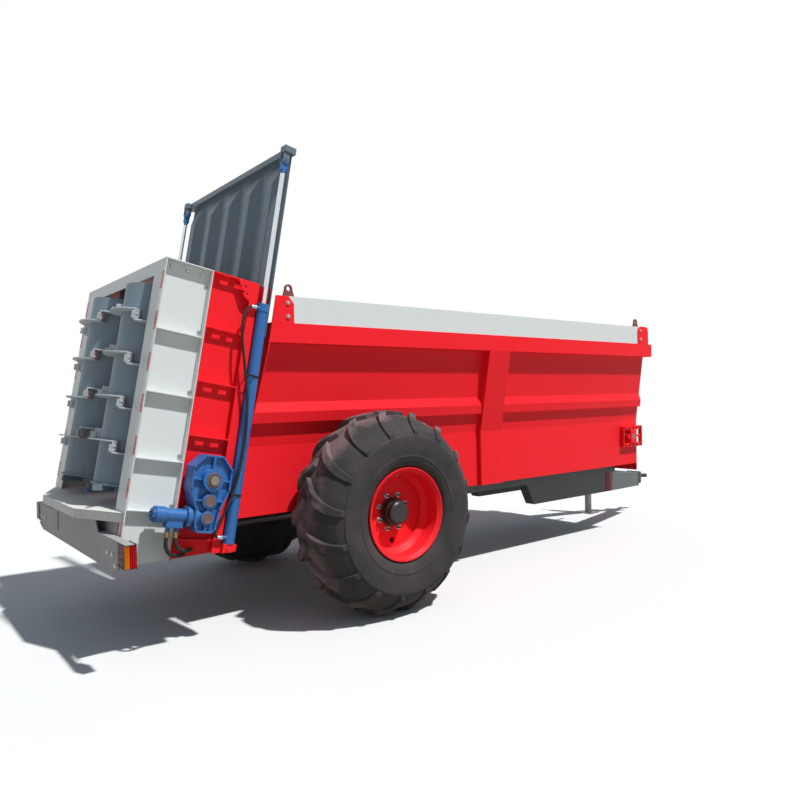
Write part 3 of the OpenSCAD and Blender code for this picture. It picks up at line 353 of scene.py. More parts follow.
# The rear lens is the red lens in a darker copy: painted shade on the face turned from the sun.
shaded_red_lens = lens("red moulded polycarbonate lens darkened as painted shade", "#6A0814")
amber_lens = lens("amber moulded polycarbonate lens", "#F08A10")
white_tape = reflective_tape("white reflective tape", "#E4E6E2")
red_tape = reflective_tape("red reflective tape", "#C81822")

# %% [markdown]
# ## Chrome rods with painted eyes
# Each rod is ground and chromed as far as its eye, and the forged eye is painted blue with the barrels.
# The two share one solid, so one material carries both and changes over at the height of the eye.

# %% Chrome rods
EYE_PAINT_M = 0.12
ROD_GRAIN_MM = 60
rod_finish, rod_tree, rod_shader = new_material("hard chrome with blue enamel on the eye")
rod_place = add(rod_tree, "TexCoord").outputs["Object"]
rod_height = add(rod_tree, "SeparateXYZ", inputs={"Vector": rod_place})
eye_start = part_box("cylinder_rods")[1].z - EYE_PAINT_M
rod_bare = add(rod_tree, "Math", {"operation": "LESS_THAN"}, {0: rod_height.outputs["Z"], 1: eye_start})
rod_grain = add(rod_tree, "TexNoise", inputs={
    "Vector": rod_place, "Scale": 1000 / ROD_GRAIN_MM, "Detail": 4.0})
rod_steel = add(rod_tree, "Mix", COLOUR, {
    0: rod_grain.outputs["Fac"], 6: linear("#E4E6E8"), 7: linear("#C2C6CA")})
rod_tint = add(rod_tree, "Mix", COLOUR, {0: rod_bare.outputs[0], 6: linear(BLUE), 7: rod_steel.outputs[2]})
rod_shine = add(rod_tree, "MapRange", inputs={"Value": rod_bare.outputs[0], "To Min": 0.45, "To Max": 0.16})
rod_tree.links.new(rod_tint.outputs[2], rod_shader.inputs["Base Color"])
rod_tree.links.new(rod_bare.outputs[0], rod_shader.inputs["Metallic"])
rod_tree.links.new(rod_shine.outputs["Result"], rod_shader.inputs["Roughness"])
print("blue eye starts at", round(eye_start, 3))

# %% [markdown]
# ## Finishes on the frame
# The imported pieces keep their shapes, so each only needs the right finish in its material slot.

# %% Paint the frame
FINISH = {
    red_enamel: "tub_floor side_wall_right side_wall_left front_wall chain_tensioners rear_post_right "
                "rear_post_left rim_right rim_left",
    rusty_enamel: "lifting_eyes",
    pale_enamel: "side_boards front_board top_beam",
    panel_enamel: "beater_panel_right beater_panel_left",
    deck_enamel: "deck",
    bumper_shade_and_dust_enamel: "bumper",
    slate_enamel: "slurry_door",
    drum_shade_enamel: "beater_drum_right beater_drum_left",
    flight_enamel: "beater_flights_right beater_flights_left",
    dark_enamel: "chassis_rails cross_members drawbar_rails drawbar_head jack_tube axle driveline_bearings",
    black_enamel: "hitch_eye hub_right hub_left",
    blue_enamel: "beater_gearboxes conveyor_gearbox hydraulic_motor cylinder_barrels",
    worn_steel: "floor_conveyor front_shaft rear_shaft driveline jack_leg",
    rod_finish: "cylinder_rods",
    hose_rubber: "motor_hoses cylinder_hoses",
    tread_rubber: "tyre_right tyre_left",
    red_lens: "tail_lamps",
}
for material, names in FINISH.items():
    for name in names.split():
        nodes[name].data.materials.clear()
        nodes[name].data.materials.append(material)
print("painted:", sum(len(names.split()) for names in FINISH.values()))

# %% [markdown]
# ## Tools for making pieces
# A piece starts as points and faces in a bmesh, which is Blender's way to build a mesh by hand. Most of
# the pieces are rings of points joined one to the next, so one function joins them and another turns a
# profile into such rings, as a lathe does. With six sides it makes a hexagon, so nuts and bolts need no
# maker of their own. The last step turns the bmesh into an object, gives it its finish and says which
# moving body carries it.

# %% Piece helpers
def piece(name, bm, material, body, crease_deg=35):
    """Makes an object from a bmesh, smooth except at edges over crease_deg, and lets it ride on a body."""
    bmesh.ops.recalc_face_normals(bm, faces=bm.faces)
    mesh = bpy.data.meshes.new(name)
    bm.to_mesh(mesh)
    bm.free()
    mesh.materials.append(material)
    mesh.shade_smooth()
    mesh.set_sharp_from_angle(angle=math.radians(crease_deg))
    made = bpy.data.objects.new(name, mesh)
    scene.collection.objects.link(made)
    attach(made, body)
    print(name, len(mesh.polygons), "faces")
    return made


def loft(bm, rows):
    """Joins rings of points, each with as many points, by four-sided faces and closes both ends."""
    for before, after in zip(rows, rows[1:]):
        for k in range(len(before)):
            n = (k + 1) % len(before)
            bm.faces.new((before[k], before[n], after[n], after[k]))
    bm.faces.new(rows[0])
    bm.faces.new(rows[-1])


def turned(bm, place, profile, segments):
    """Turns a profile of (radius, height) in millimetres round the Z axis of place, with flat ends."""
    rows = []
    for radius, height in profile:
        row = []
        for k in range(segments):
            angle = math.tau * k / segments
            spot = Vector((radius * math.cos(angle), radius * math.sin(angle), height)) * MM
            row.append(bm.verts.new(place @ spot))
        rows.append(row)
    loft(bm, rows)


# %% [markdown]
# ## Tyres
# A traction tyre has a smooth casing and two rows of bent bars, the lugs. They meet near the middle of
# the tread in turn, sweep back towards the shoulder and fade down its side. The casing is a turned
# profile with the bead, a rim guard and the shoulder. Each lug is a loft: at nine stations across the
# tread it has a section, wide at its root and narrower on top, and a bevel then rounds its edges as the
# mould does. Bent boxes would be quicker, but they have neither the sweep nor the taper.

# %% Tyre sizes
TYRE_R = 785
TYRE_HALF = 293.5
LUGS = 16
FIRST_LUG_DEG = 90
LUG_W = 70
CASING_SEGMENTS = 96
CASING = [
    (330.4, 236), (364, 240), (372, 255), (388, 268), (415, 279), (430, 282), (434, 286), (446, 286.5),
    (450, 283.5), (480, 288), (520, 291), (552, 292.5), (590, 293.2), (597, 291.5), (601, 283.5), (607, 280),
    (622, 273), (650, 250), (680, 220), (706, 186), (728, 150), (741, 115), (747, 90), (747.5, 45),
]
# Share of the half width, drop below the crown, degrees along the tread, depth, share of the lug's width
LUG_STATIONS = [
    (-0.05, 0, 0.0, 60, 0.92), (0.10, 0, -3.2, 60, 0.95), (0.25, 0, -6.4, 60, 1.0), (0.41, 3, -9.0, 62, 1.0),
    (0.54, 30, -11.2, 60, 1.0), (0.67, 62, -13.0, 60, 0.98), (0.80, 100, -14.2, 66, 0.88),
    (0.92, 134, -14.8, 72, 0.72), (0.985, 152, -15.0, 72, 0.6),
]
ROOT_HALF = 0.62
TOP_HALF = 0.5
MOULD_EDGE_MM = 5
MOULD_EDGE_DEG = 40


def wheel_place(s):
    """A place in a wheel's middle: X forward, Y down, Z outward from the machine."""
    axes = Matrix(((1, 0, 0), (0, 0, s), (0, -1, 0))).to_4x4()
    return Matrix.Translation((axle_x, s * half_track, axle_z)) @ axes


def lug(bm, place, turn_deg, mirror):
    """One bar of the tread, from the tread's middle out to the side that mirror gives."""
    rows = []
    for share, drop, along, depth, width in LUG_STATIONS:
        top = TYRE_R - drop
        root = top - depth
        row = []
        for radius, half in ((root, -ROOT_HALF), (root, ROOT_HALF), (top, TOP_HALF), (top, -TOP_HALF)):
            angle = math.radians(turn_deg + along) + half * LUG_W * width / top
            spot = Vector((radius * math.cos(angle), radius * math.sin(angle), mirror * share * TYRE_HALF))
            row.append(bm.verts.new(place @ (spot * MM)))
        rows.append(row)
    loft(bm, rows)


# %% Tyres
for side, s in SIDES.items():
    tyre_bm = bmesh.new()
    hub_place = wheel_place(s)
    turned(tyre_bm, hub_place, CASING + [(r, -z) for r, z in reversed(CASING)], CASING_SEGMENTS)
    end_caps = [f for f in tyre_bm.faces if len(f.verts) == CASING_SEGMENTS]
    bmesh.ops.delete(tyre_bm, geom=end_caps, context="FACES_ONLY")
    bmesh.ops.bridge_loops(tyre_bm, edges=[e for e in tyre_bm.edges if e.is_boundary])
    for i in range(LUGS):
        lug(tyre_bm, hub_place, FIRST_LUG_DEG + 360 / LUGS * i, 1)
        lug(tyre_bm, hub_place, FIRST_LUG_DEG + 360 / LUGS * (i + 0.5), -1)
    tyre = piece("tread_tyre_" + side, tyre_bm, tread_rubber, "wheel_" + side, crease_deg=30)
    soft_edge = tyre.modifiers.new("moulded edges", "BEVEL")
    soft_edge.width = MOULD_EDGE_MM * MM
    soft_edge.segments = 2
    soft_edge.limit_method = "ANGLE"
    soft_edge.angle_limit = math.radians(MOULD_EDGE_DEG)
    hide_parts("tyre_" + side)

# %% [markdown]
# ## Wheel nuts and valves
# Eight nuts clamp each wheel to its hub. Every nut is a hexagon with a turned collar under it. The valve
# is a thin stem with a cap that looks out through the hole in the disc.

# %% Wheel nuts and valves
STUDS = 8
STUD_CIRCLE = 137
NUT_FOOT = 61.4
VALVE_RADIUS = 285
VALVE_FOOT = 95
COLLAR = [(21, 0), (21, 4), (19, 6)]
NUT = [(19, 5), (19, 20), (16.5, 23)]
STEM = [(6, -30), (6, 10), (4.5, 12), (4.5, 28), (5.5, 30), (5.5, 44), (4, 46)]
for side, s in SIDES.items():
    nut_bm = bmesh.new()
    hub_place = wheel_place(s)
    for i in range(STUDS):
        angle = (i + 0.5) * math.tau / STUDS
        seat = hub_place @ Matrix.Translation(Vector(
            (STUD_CIRCLE * math.cos(angle), STUD_CIRCLE * math.sin(angle), NUT_FOOT)) * MM)
        turned(nut_bm, seat, COLLAR, 24)
        turned(nut_bm, seat, NUT, 6)
    valve_place = hub_place @ Matrix.Translation(Vector((0, -VALVE_RADIUS, VALVE_FOOT)) * MM)
    turned(nut_bm, valve_place, STEM, 16)
    piece("wheel_nuts_" + side, nut_bm, zinc, "wheel_" + side)

# %% [markdown]
# ## Tail lamps
# A lamp is a black moulded tray with lenses clipped into it. The rear lens is red with raised ribs, drawn
# dark red as painted shade.
# The end lens, which is seen from the side, is amber at its rear and red at its front. The tray takes the
# place of the plain block, and the ribs are real ridges so that they catch the light. All are boxes with
# rounded edges: a cube's corners are moved to the right places and then bevelled.

# %% Rounded blocks
def block(bm, place, low, high, soft):
    """A box between two corners in millimetres, its edges rounded by soft, set at place."""
    verts = bmesh.ops.create_cube(bm, size=1.0)["verts"]
    middle = (Vector(low) + Vector(high)) / 2
    span = Vector(high) - Vector(low)
    for vert in verts:
        vert.co = place @ ((middle + Vector([c * s for c, s in zip(vert.co, span)])) * MM)
    edges = list({edge for vert in verts for edge in vert.link_edges})
    bmesh.ops.bevel(bm, geom=edges, offset=soft * MM, segments=2, profile=0.5, affect="EDGES")


# %% Tail lamps
LAMP_X = (-2014, -1942)
LAMP_Y = (1060.3, 1200)
LAMP_Z = (682, 823.7)
LENS_T = 9
LENS_RIM = 4
TRAY_SET = 7
RIBS = 9
RIB_H = 3
RIB_MARGIN = 12
RIB_INSET = 5
RIB_GAP = 2
END_RIBS = 3
END_RIB_H = 2
END_MARGIN = 10
END_GAP = 1
AMBER_X = -1984
AMBER_SPAN = (LAMP_X[0] + 2, AMBER_X - 1)
RED_SPAN = (AMBER_X + 1, LAMP_X[1] - 2)
home = Matrix.Translation(machine(0, 0, 0))
tray_bm = bmesh.new()
rear_bm = bmesh.new()
amber_bm = bmesh.new()
red_bm = bmesh.new()
for s in SIDES.values():
    flip = home @ Matrix.Diagonal((1, s, 1, 1))
    block(tray_bm, flip, (LAMP_X[0] + TRAY_SET, LAMP_Y[0], LAMP_Z[0]),
          (LAMP_X[1], LAMP_Y[1] - TRAY_SET, LAMP_Z[1]), 5)
    block(rear_bm, flip, (LAMP_X[0] + RIB_H, LAMP_Y[0] + LENS_RIM, LAMP_Z[0] + LENS_RIM),
          (LAMP_X[0] + LENS_T, LAMP_Y[1] - LENS_T, LAMP_Z[1] - LENS_RIM), 2.5)
    pitch = (LAMP_Z[1] - LAMP_Z[0] - 2 * RIB_MARGIN) / RIBS
    for i in range(RIBS):
        foot = LAMP_Z[0] + RIB_MARGIN + pitch * i
        block(rear_bm, flip, (LAMP_X[0], LAMP_Y[0] + LENS_RIM + RIB_INSET, foot + RIB_GAP),
              (LAMP_X[0] + LENS_T - 1, LAMP_Y[1] - LENS_T - RIB_INSET, foot + pitch - RIB_GAP), 2)
    for bm, (x0, x1) in ((amber_bm, AMBER_SPAN), (red_bm, RED_SPAN)):
        block(bm, flip, (x0, LAMP_Y[1] - LENS_T, LAMP_Z[0] + LENS_RIM),
              (x1, LAMP_Y[1] - END_RIB_H, LAMP_Z[1] - LENS_RIM), 2.5)
        step = (x1 - x0 - 2 * LENS_RIM) / END_RIBS
        for i in range(END_RIBS):
            start = x0 + LENS_RIM + step * i
            block(bm, flip, (start + END_GAP, LAMP_Y[1] - LENS_RIM, LAMP_Z[0] + END_MARGIN),
                  (start + step - END_GAP, LAMP_Y[1], LAMP_Z[1] - END_MARGIN), 1.5)
tray = piece("lamp_trays", tray_bm, lamp_plastic, "chassis")
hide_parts("tail_lamps")
piece("lamp_rear_lenses", rear_bm, shaded_red_lens, "chassis")
piece("lamp_end_lenses_amber", amber_bm, amber_lens, "chassis")
piece("lamp_end_lenses_red", red_bm, red_lens, "chassis")

# %% [markdown]
# ## Closing plates beside the bumper
# The bumper steps down towards its lamps, and a small sheet closes the corner that this leaves under the
# deck. It lies on the leaning rear flange, so it is a thin block in that frame's own directions with soft
# edges.

# %% Closing plates
CLOSING_U = (-6, -0.3)
CLOSING_Y = (450, 842)
CLOSING_W = (204, 293)
closing_low = (CLOSING_U[0], CLOSING_Y[0], CLOSING_W[0])
closing_high = (CLOSING_U[1], CLOSING_Y[1], CLOSING_W[1])
closing_bm = bmesh.new()
for s in SIDES.values():
    flip = frame_foot @ Matrix.Diagonal((1, s, 1, 1))
    block(closing_bm, flip, closing_low, closing_high, 1.5)
# The closing plates take the bumper's darkened grey, which is painted shade.
piece("closing_plates", closing_bm, bumper_shade_and_dust_enamel, "chassis")

# %% [markdown]
# ## Reflective tape
# A white tape with red blocks runs up each rear flange, so that the machine is seen at night. Each tape
# is a slab one millimetre thick with soft edges, and the red blocks lie on it at an even pitch. Colour
# alone would do from afar, but a slab has an edge that catches the light.

# %% Reflective tape
TAPE_Y = (878, 918)
TAPE_W = (40, 1980)
TAPE_U = (-1.0, -0.1)
TAPE_SOFT = 0.3
RED_U = (-1.6, -0.5)
RED_INSET = 0.5
RED_TOPS = (1950, 1675, 1400, 1125, 850, 575, 300)
RED_L = 126
white_bm = bmesh.new()
block_bm = bmesh.new()
for s in SIDES.values():
    flip = frame_foot @ Matrix.Diagonal((1, s, 1, 1))
    block(white_bm, flip, (TAPE_U[0], TAPE_Y[0], TAPE_W[0]), (TAPE_U[1], TAPE_Y[1], TAPE_W[1]), TAPE_SOFT)
    for top in RED_TOPS:
        block(block_bm, flip, (RED_U[0], TAPE_Y[0] + RED_INSET, top - RED_L),
              (RED_U[1], TAPE_Y[1] - RED_INSET, top), TAPE_SOFT)
piece("tape_white", white_bm, white_tape, "chassis")
piece("tape_red", block_bm, red_tape, "chassis")

# %% [markdown]
# ## Hydraulic hoses
# Each lift cylinder has a steel-braided hose from its upper port to its lower end, and the motor has two.
# They are clamped at both ends and tied to the barrel, so they are rigid here. A Catmull-Rom curve
# through the route's points gives the easy bends of real hose, and a tube is swept along it. Sleeves are
# pressed on at the ends, zinc-plated on the cylinders and brass on the motor, with a hexagon for the
# spanner.

# %% Tubes along a curve
TUBE_SEGMENTS = 16


def smooth_line(points, steps):
    """Points along a Catmull-Rom curve, which passes through every given point."""
    ends = [points[0] * 2 - points[1]] + list(points) + [points[-1] * 2 - points[-2]]
    line = []
    for i in range(1, len(ends) - 2):
        a, b, c, d = ends[i - 1:i + 3]
        for k in range(steps):
            t = k / steps
            line.append(0.5 * (2 * b + (c - a) * t + (2 * a - 5 * b + 4 * c - d) * t * t
                               + (3 * b - a - 3 * c + d) * t ** 3))
    return line + [points[-1]]


def tube(bm, line, radius):
    """Sweeps a circle along a line of points; each ring is carried on from the one before, so none twists."""
    side = (line[1] - line[0]).orthogonal().normalized()
    rows = []
    for i, point in enumerate(line):
        along = (line[min(i + 1, len(line) - 1)] - line[max(i - 1, 0)]).normalized()
        side = (side - along * side.dot(along)).normalized()
        other = along.cross(side)
        row = []
        for k in range(TUBE_SEGMENTS):
            angle = math.tau * k / TUBE_SEGMENTS
            row.append(bm.verts.new(point + (side * math.cos(angle) + other * math.sin(angle)) * radius * MM))
        rows.append(row)
    loft(bm, rows)


# %% Hydraulic hoses
HOSE_R = 10
MOTOR_HOSE_R = 13
POST_Y = 920
BARREL_U = 729
BARREL_Y = 924
BARREL_R = 42
CYLINDER_ROUTE = [
    (-64, 18, 1862), (-94, 20, 1858), (-124, 28, 1840), (-147, 38, 1800), (-156, 44, 1745), (-152, 48, 1670),
    (-132, 52, 1560), (-80, 55, 1360), (-40, 56, 1180), (-15, 56, 930), (-22, 56, 700), (-52, 55, 520),
    (-88, 50, 390), (-116, 42, 322), (-124, 34, 276), (-112, 25, 244), (-92, 20, 234), (-64, 18, 232),
]
MOTOR_ROUTES = [
    [(-225, 65, -362), (-225, 65, -405), (-221, 65, -446), (-206, 64, -480), (-180, 60, -503),
     (-148, 50, -513), (-116, 32, -515), (-88, 8, -515), (-64, -18, -515), (-49, -40, -515)],
    [(-165, 65, -362), (-165, 65, -390), (-161, 65, -420), (-148, 64, -448), (-126, 60, -468),
     (-97, 50, -479), (-66, 32, -482), (-38, 8, -482), (-14, -18, -482), (1, -40, -482)],
]
FERRULE_L = 34
HOSE_STEPS = 6


def facing(point, normal):
    """A place at a point whose Z axis looks along a normal."""
    return Matrix.Translation(point) @ Vector(normal).to_track_quat("Z", "Y").to_matrix().to_4x4()


def ferrule(bm, end, inner, hose_r):
    """A pressed sleeve and its hexagon on the end of a hose; inner is a point a little way along it."""
    place = facing(end, inner - end)
    turned(bm, place, [(hose_r + 1.5, 8), (hose_r + 3.5, 10), (hose_r + 3.5, FERRULE_L - 4),
                       (hose_r + 1, FERRULE_L)], 20)
    turned(bm, place, [(hose_r + 5, -4), (hose_r + 6, -3), (hose_r + 6, 8), (hose_r + 5, 9)], 6)


ferrule_bm = bmesh.new()
lift_bm = bmesh.new()
for s in SIDES.values():
    route = [leaning(BARREL_U + u, s * (BARREL_Y + y), w) for u, y, w in CYLINDER_ROUTE]
    line = smooth_line(route, HOSE_STEPS)
    tube(lift_bm, line, HOSE_R)
    ferrule(ferrule_bm, line[0], line[3], HOSE_R)
    ferrule(ferrule_bm, line[-1], line[-4], HOSE_R)
lift_hoses = piece("lift_hoses", lift_bm, hose_rubber, "chassis")
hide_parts("cylinder_hoses")

drive_bm = bmesh.new()
brass_bm = bmesh.new()
for points in MOTOR_ROUTES:
    line = smooth_line([at_gearbox(x, -POST_Y - y, z) for x, y, z in points], HOSE_STEPS)
    tube(drive_bm, line, MOTOR_HOSE_R)
    ferrule(brass_bm, line[0], line[3], MOTOR_HOSE_R)
drive_hoses = piece("drive_hoses", drive_bm, hose_rubber, "chassis")
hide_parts("motor_hoses")
piece("lift_hose_ends", ferrule_bm, zinc, "chassis")
piece("drive_hose_ends", brass_bm, brass, "chassis")

# %% [markdown]
# ## Hose ties
# Two nylon ties hold each hose to its barrel. A tie takes the short way round both: an arc of the barrel,
# an arc of the hose, and the two straight lines that touch them. The loop is drawn as such a belt and
# given a width and a thickness.

# %% Hose ties
TIE_ARC = 14
TIE_T = 2.5
TIE_W = 16
TIE_GAP = 0.3
TIES = [(-80, 55, 1360), (-52, 55, 520)]


def belt(centre, big, small):
    """Points round two circles: one of radius big at the origin and one of radius small at centre."""
    away = math.hypot(*centre)
    toward = math.atan2(centre[1], centre[0])
    touch = math.acos((big - small) / away)
    points = []
    for k in range(TIE_ARC + 1):
        angle = toward + touch + (math.tau - 2 * touch) * k / TIE_ARC
        points.append((big * math.cos(angle), big * math.sin(angle)))
    for k in range(TIE_ARC + 1):
        angle = toward - touch + 2 * touch * k / TIE_ARC
        points.append((centre[0] + small * math.cos(angle), centre[1] + small * math.sin(angle)))
    return points


tie_bm = bmesh.new()
for s in SIDES.values():
    for u, y, w in TIES:
        inner = belt((u, y), BARREL_R + TIE_GAP, HOSE_R + TIE_GAP)
        outer = belt((u, y), BARREL_R + TIE_GAP + TIE_T, HOSE_R + TIE_GAP + TIE_T)
        rows = []
        for loop, height in ((inner, w), (outer, w), (outer, w + TIE_W), (inner, w + TIE_W)):
            rows.append([
                tie_bm.verts.new(leaning(BARREL_U + a, s * (BARREL_Y + b), height)) for a, b in loop])
        for r in range(4):
            for k in range(len(inner)):
                n = (k + 1) % len(inner)
                tie_bm.faces.new((rows[r][k], rows[r][n], rows[(r + 1) % 4][n], rows[(r + 1) % 4][k]))
piece("hose_ties", tie_bm, lamp_plastic, "chassis")

# %% [markdown]
# ## Bolts
# The panels, the board holders, the chain tensioners, the gearbox, its motor and the bumper are bolted on
# and show their heads. Every head is a hexagon with a chamfer on a turned washer. Short tables give the
# places, and one function makes a whole group as one mesh, which keeps the list of pieces short.

# %% Bolt maker
WASHER_SHARE = 0.68
HEAD_SHARE = 0.44
POINT_SHARE = 0.86
WASHER_T = 2.6
WASHER_SOFT = 0.8
SEAT_GAP = 0.2


def bolts(name, spots, across, body, material):
    """Hexagon bolts with washers, each at a place whose Z axis points out of the sheet."""
    corner = across / math.sqrt(3)
    washer = across * WASHER_SHARE
    head = across * HEAD_SHARE
    bm = bmesh.new()
    for place in spots:
        turned(bm, place, [(washer, SEAT_GAP), (washer, WASHER_T - WASHER_SOFT),
                           (washer - WASHER_SOFT, WASHER_T), (corner, WASHER_T)], 20)
        turned(bm, place, [(corner, WASHER_T), (corner, head), (corner * POINT_SHARE, head + 2)], 6)
    piece(name, bm, material, body)


# %% Bolts
OUT_FACE = 870
PANEL_BOLTS = [(56, 1995), (165, 1995), (264, 1995)] + [(308, w) for w in (1930, 1603, 1186, 751, 416)]
panel_spots = [
    facing(leaning(u, s * OUT_FACE, w), (0, s, 0)) for s in SIDES.values() for u, w in PANEL_BOLTS]
bolts("panel_bolts", panel_spots, 19, "chassis", zinc)

HOLDER_FACE = 945
HOLDER_BOLTS = [(-730, 2385), (-730, 2285), (3985, 2390), (3985, 2290)]
holder_spots = [
    facing(machine(x, s * HOLDER_FACE, z), (0, s, 0)) for s in SIDES.values() for x, z in HOLDER_BOLTS]
bolts("board_bolts", holder_spots, 24, "chassis", zinc)

TENSION_FACE = 806
SHAFT_Z = 1145
BAR_MID = 101
BAR_BOLT_XS = range(3855, 4176, 80)
bar_spots = []
for s in SIDES.values():
    for x in BAR_BOLT_XS:
        for way in (-1, 1):
            spot = machine(x, s * TENSION_FACE, SHAFT_Z + way * BAR_MID)
            bar_spots.append(facing(spot, (0, s, 0)))
bolts("tensioner_bolts", bar_spots, 19, "chassis", maroon_enamel)

CASE_FACE = 1050
CASE_BOLTS = [(53, 156), (132, 76), (132, -58), (83, -188), (68, -320)]
case_spots = [
    facing(at_gearbox(way * x, -CASE_FACE, z), (0, -1, 0)) for way in (-1, 1) for x, z in CASE_BOLTS]
bolts("gearbox_bolts", case_spots, 13, "chassis", blue_enamel)

MOTOR_END = -342
MOTOR_Y = -985
MOTOR_Z = -251
MOTOR_BOLTS = 8
MOTOR_CIRCLE = 34
motor_spots = []
for i in range(MOTOR_BOLTS):
    angle = (i + 0.5) * math.tau / MOTOR_BOLTS
    spot = at_gearbox(MOTOR_END, MOTOR_Y + MOTOR_CIRCLE * math.cos(angle),
                      MOTOR_Z + MOTOR_CIRCLE * math.sin(angle))
    motor_spots.append(facing(spot, -lean_u))
bolts("motor_bolts", motor_spots, 13, "chassis", blue_enamel)

BUMPER_FACE = -2010
BUMPER_BOLTS = [(866, 736), (970, 742), (1020, 678)]
bumper_spots = [
    facing(machine(BUMPER_FACE, s * y, z), (-1, 0, 0)) for s in SIDES.values() for y, z in BUMPER_BOLTS]
bolts("bumper_bolts", bumper_spots, 24, "chassis", zinc)

# %% [markdown]
# ## Beater bolts
# A beater's flight climbs its drum in quarter turns, and a blade stands at each step. Two bolts go
# through each blade and show on both of its faces. They are placed on an upright beater, a step at a
# time, and then set into the leaning frame, mirrored for the left side. They ride with their beater.

# %% Beater bolts
BEATER_Y = 410
FLIGHT_R = 300
FLIGHT_T = 10
FLIGHT_W0 = 714.2
STEP_H = 76
STEPS = 15
FIRST_BLADE_DEG = 135
BLADE_BOLT_R = FLIGHT_R - 15
BLADE_RISES = (22, 48)
for side, s in SIDES.items():
    spots = []
    for i in range(STEPS - 1):
        turn = Matrix.Rotation(math.radians(90 * i + FIRST_BLADE_DEG), 4, "Z")
        for rise in BLADE_RISES:
            for face, way in ((-FLIGHT_T, -1), (0, 1)):
                spot = turn @ Vector((BLADE_BOLT_R, face, FLIGHT_W0 + STEP_H * i + rise))
                normal = turn @ Vector((0, way, 0))
                place = leaning(BEATER_U + spot.x, s * (BEATER_Y + spot.y), spot.z)
                out = lean_turn @ Vector((normal.x, s * normal.y, 0))
                spots.append(facing(place, out))
    bolts("blade_bolts_" + side, spots, 13, "beater_" + side, flight_enamel)

# %% [markdown]
# ## Covers on the gearbox
# Bare steel caps close the ends of the two lower shafts, and a ring holds the seal round the upper one.
# All are turned parts, with a chamfered edge and a shallow dish, and they have rusted a little.

# %% Gearbox covers
CAPS = [(0, 1075, 50), (-138, 1062, 38), (-251, 1062, 35)]
cap_bm = bmesh.new()
for z, face, radius in CAPS:
    place = facing(at_gearbox(0, -face, z), (0, -1, 0))
    turned(cap_bm, place, [(radius, 0.2), (radius, 3), (radius - 2, 5), (radius - 6, 5), (radius - 9, 2.5),
                           (radius * 0.62, 2.5)], 40)
piece("gearbox_caps", cap_bm, rusted_steel, "chassis")

# %% [markdown]
# ## Band on the drawbar
# Where the drawbar leaves the tub, a maroon band is painted round its rails. It is a thin skin that
# follows the rail's side round the bend, so it is drawn from the rail's own lines.

# %% Drawbar band
BAND_XS = (3915, 4000, 4045, 4090)
BEND_X = 4000
HEAD_X = 5110
# The rail's outer side, top and foot, at the bend and at the drawbar's head
RAIL_SIDE = (480, 180)
RAIL_TOP = (690, 570)
RAIL_FOOT = (460, 390)
BAND_LIFT = 0.1
BAND_T = 1.2
band_bm = bmesh.new()
for s in SIDES.values():
    rows = []
    for x in BAND_XS:
        share = max(0, x - BEND_X) / (HEAD_X - BEND_X)
        y, top, foot = (start + (end - start) * share for start, end in (RAIL_SIDE, RAIL_TOP, RAIL_FOOT))
        inside = y + BAND_LIFT
        outside = y + BAND_T
        corners = ((inside, foot), (inside, top), (outside, top), (outside, foot))
        rows.append([band_bm.verts.new(machine(x, s * out, z)) for out, z in corners])
    loft(band_bm, rows)
piece("drawbar_band", band_bm, maroon_enamel, "chassis")

# %% [markdown]
# ## Floor
# A pale floor carries the shadow and fades into a white surround some metres away. Light Path lets it
# look pale while it throws back only as much light as dry ground does. It isn't part of the machine.

# %% Floor
FLOOR_RADIUS = 60.0
FADE_M = (6.0, 13.0)
floor_mesh = bpy.data.meshes.new("floor")
floor_bm = bmesh.new()
bmesh.ops.create_circle(floor_bm, cap_ends=True, segments=96, radius=FLOOR_RADIUS)
floor_bm.to_mesh(floor_mesh)
floor_bm.free()
floor = bpy.data.objects.new("floor", floor_mesh)
scene.collection.objects.link(floor)
floor_paint, floor_tree, floor_shader = new_material("pale studio floor")
floor_path = add(floor_tree, "LightPath")
floor_tone = add(floor_tree, "Mix", COLOUR, {
    0: floor_path.outputs["Is Diffuse Ray"], 6: linear("#DCDCDA"), 7: linear("#868279")})
floor_tree.links.new(floor_tone.outputs[2], floor_shader.inputs["Base Color"])
floor_shader.inputs["Roughness"].default_value = 0.9
floor_place = add(floor_tree, "TexCoord").outputs["Object"]
floor_away = add(floor_tree, "VectorMath", {"operation": "LENGTH"}, {0: floor_place})
floor_fade = add(floor_tree, "MapRange", {"interpolation_type": "SMOOTHSTEP"}, {
    "Value": floor_away.outputs["Value"], "From Min": FADE_M[0], "From Max": FADE_M[1]})
floor_white = add(floor_tree, "Emission", inputs={"Color": (1, 1, 1, 1), "Strength": 1.0})
floor_mix = add(floor_tree, "MixShader", inputs={
    0: floor_fade.outputs["Result"], 1: floor_shader.outputs["BSDF"], 2: floor_white.outputs["Emission"]})
floor_tree.links.new(floor_mix.outputs["Shader"], floor_tree.nodes["Material Output"].inputs["Surface"])
floor_mesh.materials.append(floor_paint)
print("floor fades out from", FADE_M[0], "to", FADE_M[1], "m")

# %% [markdown]
# ## Light
# The light is a high sun from the front right, as in the photograph, so ribs and rails throw short hard
# shadows, and a pale blue sky fills the shade. Light Path sends plain white to the camera, to mirrors and
# through clear things, and the sky to the rest.

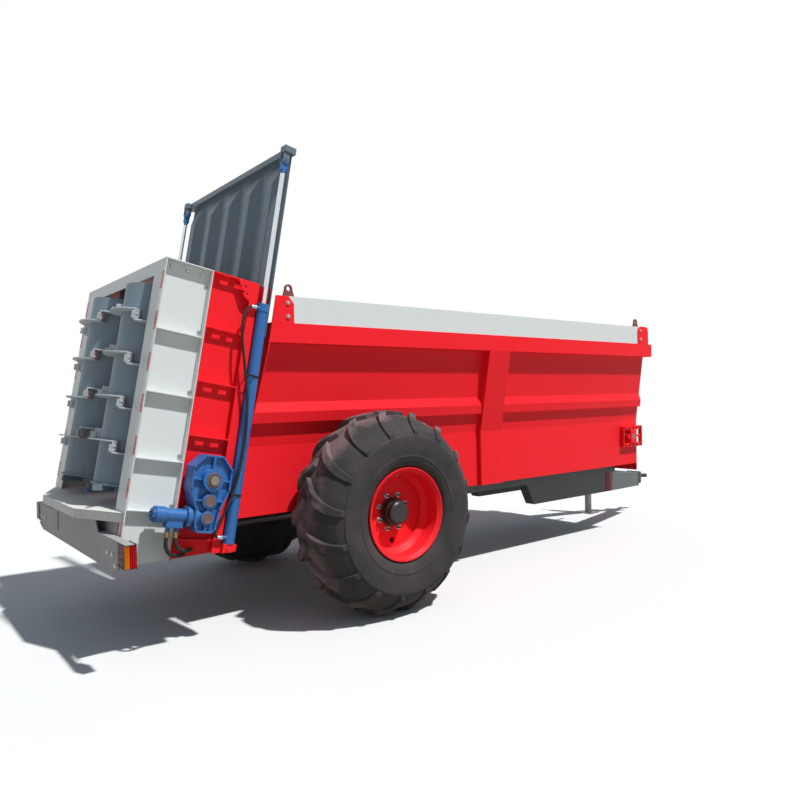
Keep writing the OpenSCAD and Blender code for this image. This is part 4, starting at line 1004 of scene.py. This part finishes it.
# %% Light
SKY = 0.32
KEY = 4.25
KEY_TOWARD = (-0.2, 0.45, -0.87)
SUN_DEG = 2.0
world = bpy.data.worlds.new("white surround")
scene.world = world
world.use_nodes = True
sky_tree = world.node_tree
path = add(sky_tree, "LightPath")
straight = add(sky_tree, "Math", MAXIMUM, {
    0: path.outputs["Is Camera Ray"], 1: path.outputs["Is Transmission Ray"]})
seen = add(sky_tree, "Math", MAXIMUM, {0: straight.outputs[0], 1: path.outputs["Is Glossy Ray"]})
strength = add(sky_tree, "MapRange", inputs={"Value": seen.outputs[0], "To Min": SKY, "To Max": 1.0})
sky = sky_tree.nodes["Background"]
sky_tint = add(sky_tree, "Mix", COLOUR, {0: seen.outputs[0], 6: linear("#CBDDF2"), 7: (1, 1, 1, 1)})
sky_tree.links.new(sky_tint.outputs[2], sky.inputs["Color"])
sky_tree.links.new(strength.outputs["Result"], sky.inputs["Strength"])

key = bpy.data.lights.new("key", "SUN")
key.energy = KEY
key.angle = math.radians(SUN_DEG)
key_lamp = bpy.data.objects.new("key", key)
key_lamp.rotation_mode = "QUATERNION"
key_lamp.rotation_quaternion = Vector(KEY_TOWARD).to_track_quat("-Z", "Y")
scene.collection.objects.link(key_lamp)
print("sun:", KEY, "sky:", SKY)

# %% [markdown]
# ## Camera
# The camera stands behind the machine on its right, at a standing person's eye height, with a wide lens.
# Its place, look, roll and focal length were fitted so that corners of the machine fall on the same
# pixels as in the photograph. A focal length in pixels becomes millimetres through the sensor's width.

# %% Camera
CAMERA_AT = machine(-3274, -5349, 1681)
LOOK = Vector((0.632, 0.775, -0.006))
ROLL_DEG = -1.15
FOCAL_PX = 680
PHOTO_PX = 800
SENSOR_MM = 36
camera_data = bpy.data.cameras.new("camera")
camera_data.sensor_width = SENSOR_MM
camera_data.lens = FOCAL_PX / PHOTO_PX * SENSOR_MM
camera = bpy.data.objects.new("camera", camera_data)
camera.rotation_mode = "QUATERNION"
camera.location = CAMERA_AT
camera.rotation_quaternion = (
    LOOK.to_track_quat("-Z", "Y") @ Matrix.Rotation(math.radians(ROLL_DEG), 4, "Z").to_quaternion())
scene.collection.objects.link(camera)
scene.camera = camera
scene.view_settings.view_transform = "Standard"
print("camera at", [round(v, 3) for v in camera.location], "lens", round(camera_data.lens, 2))
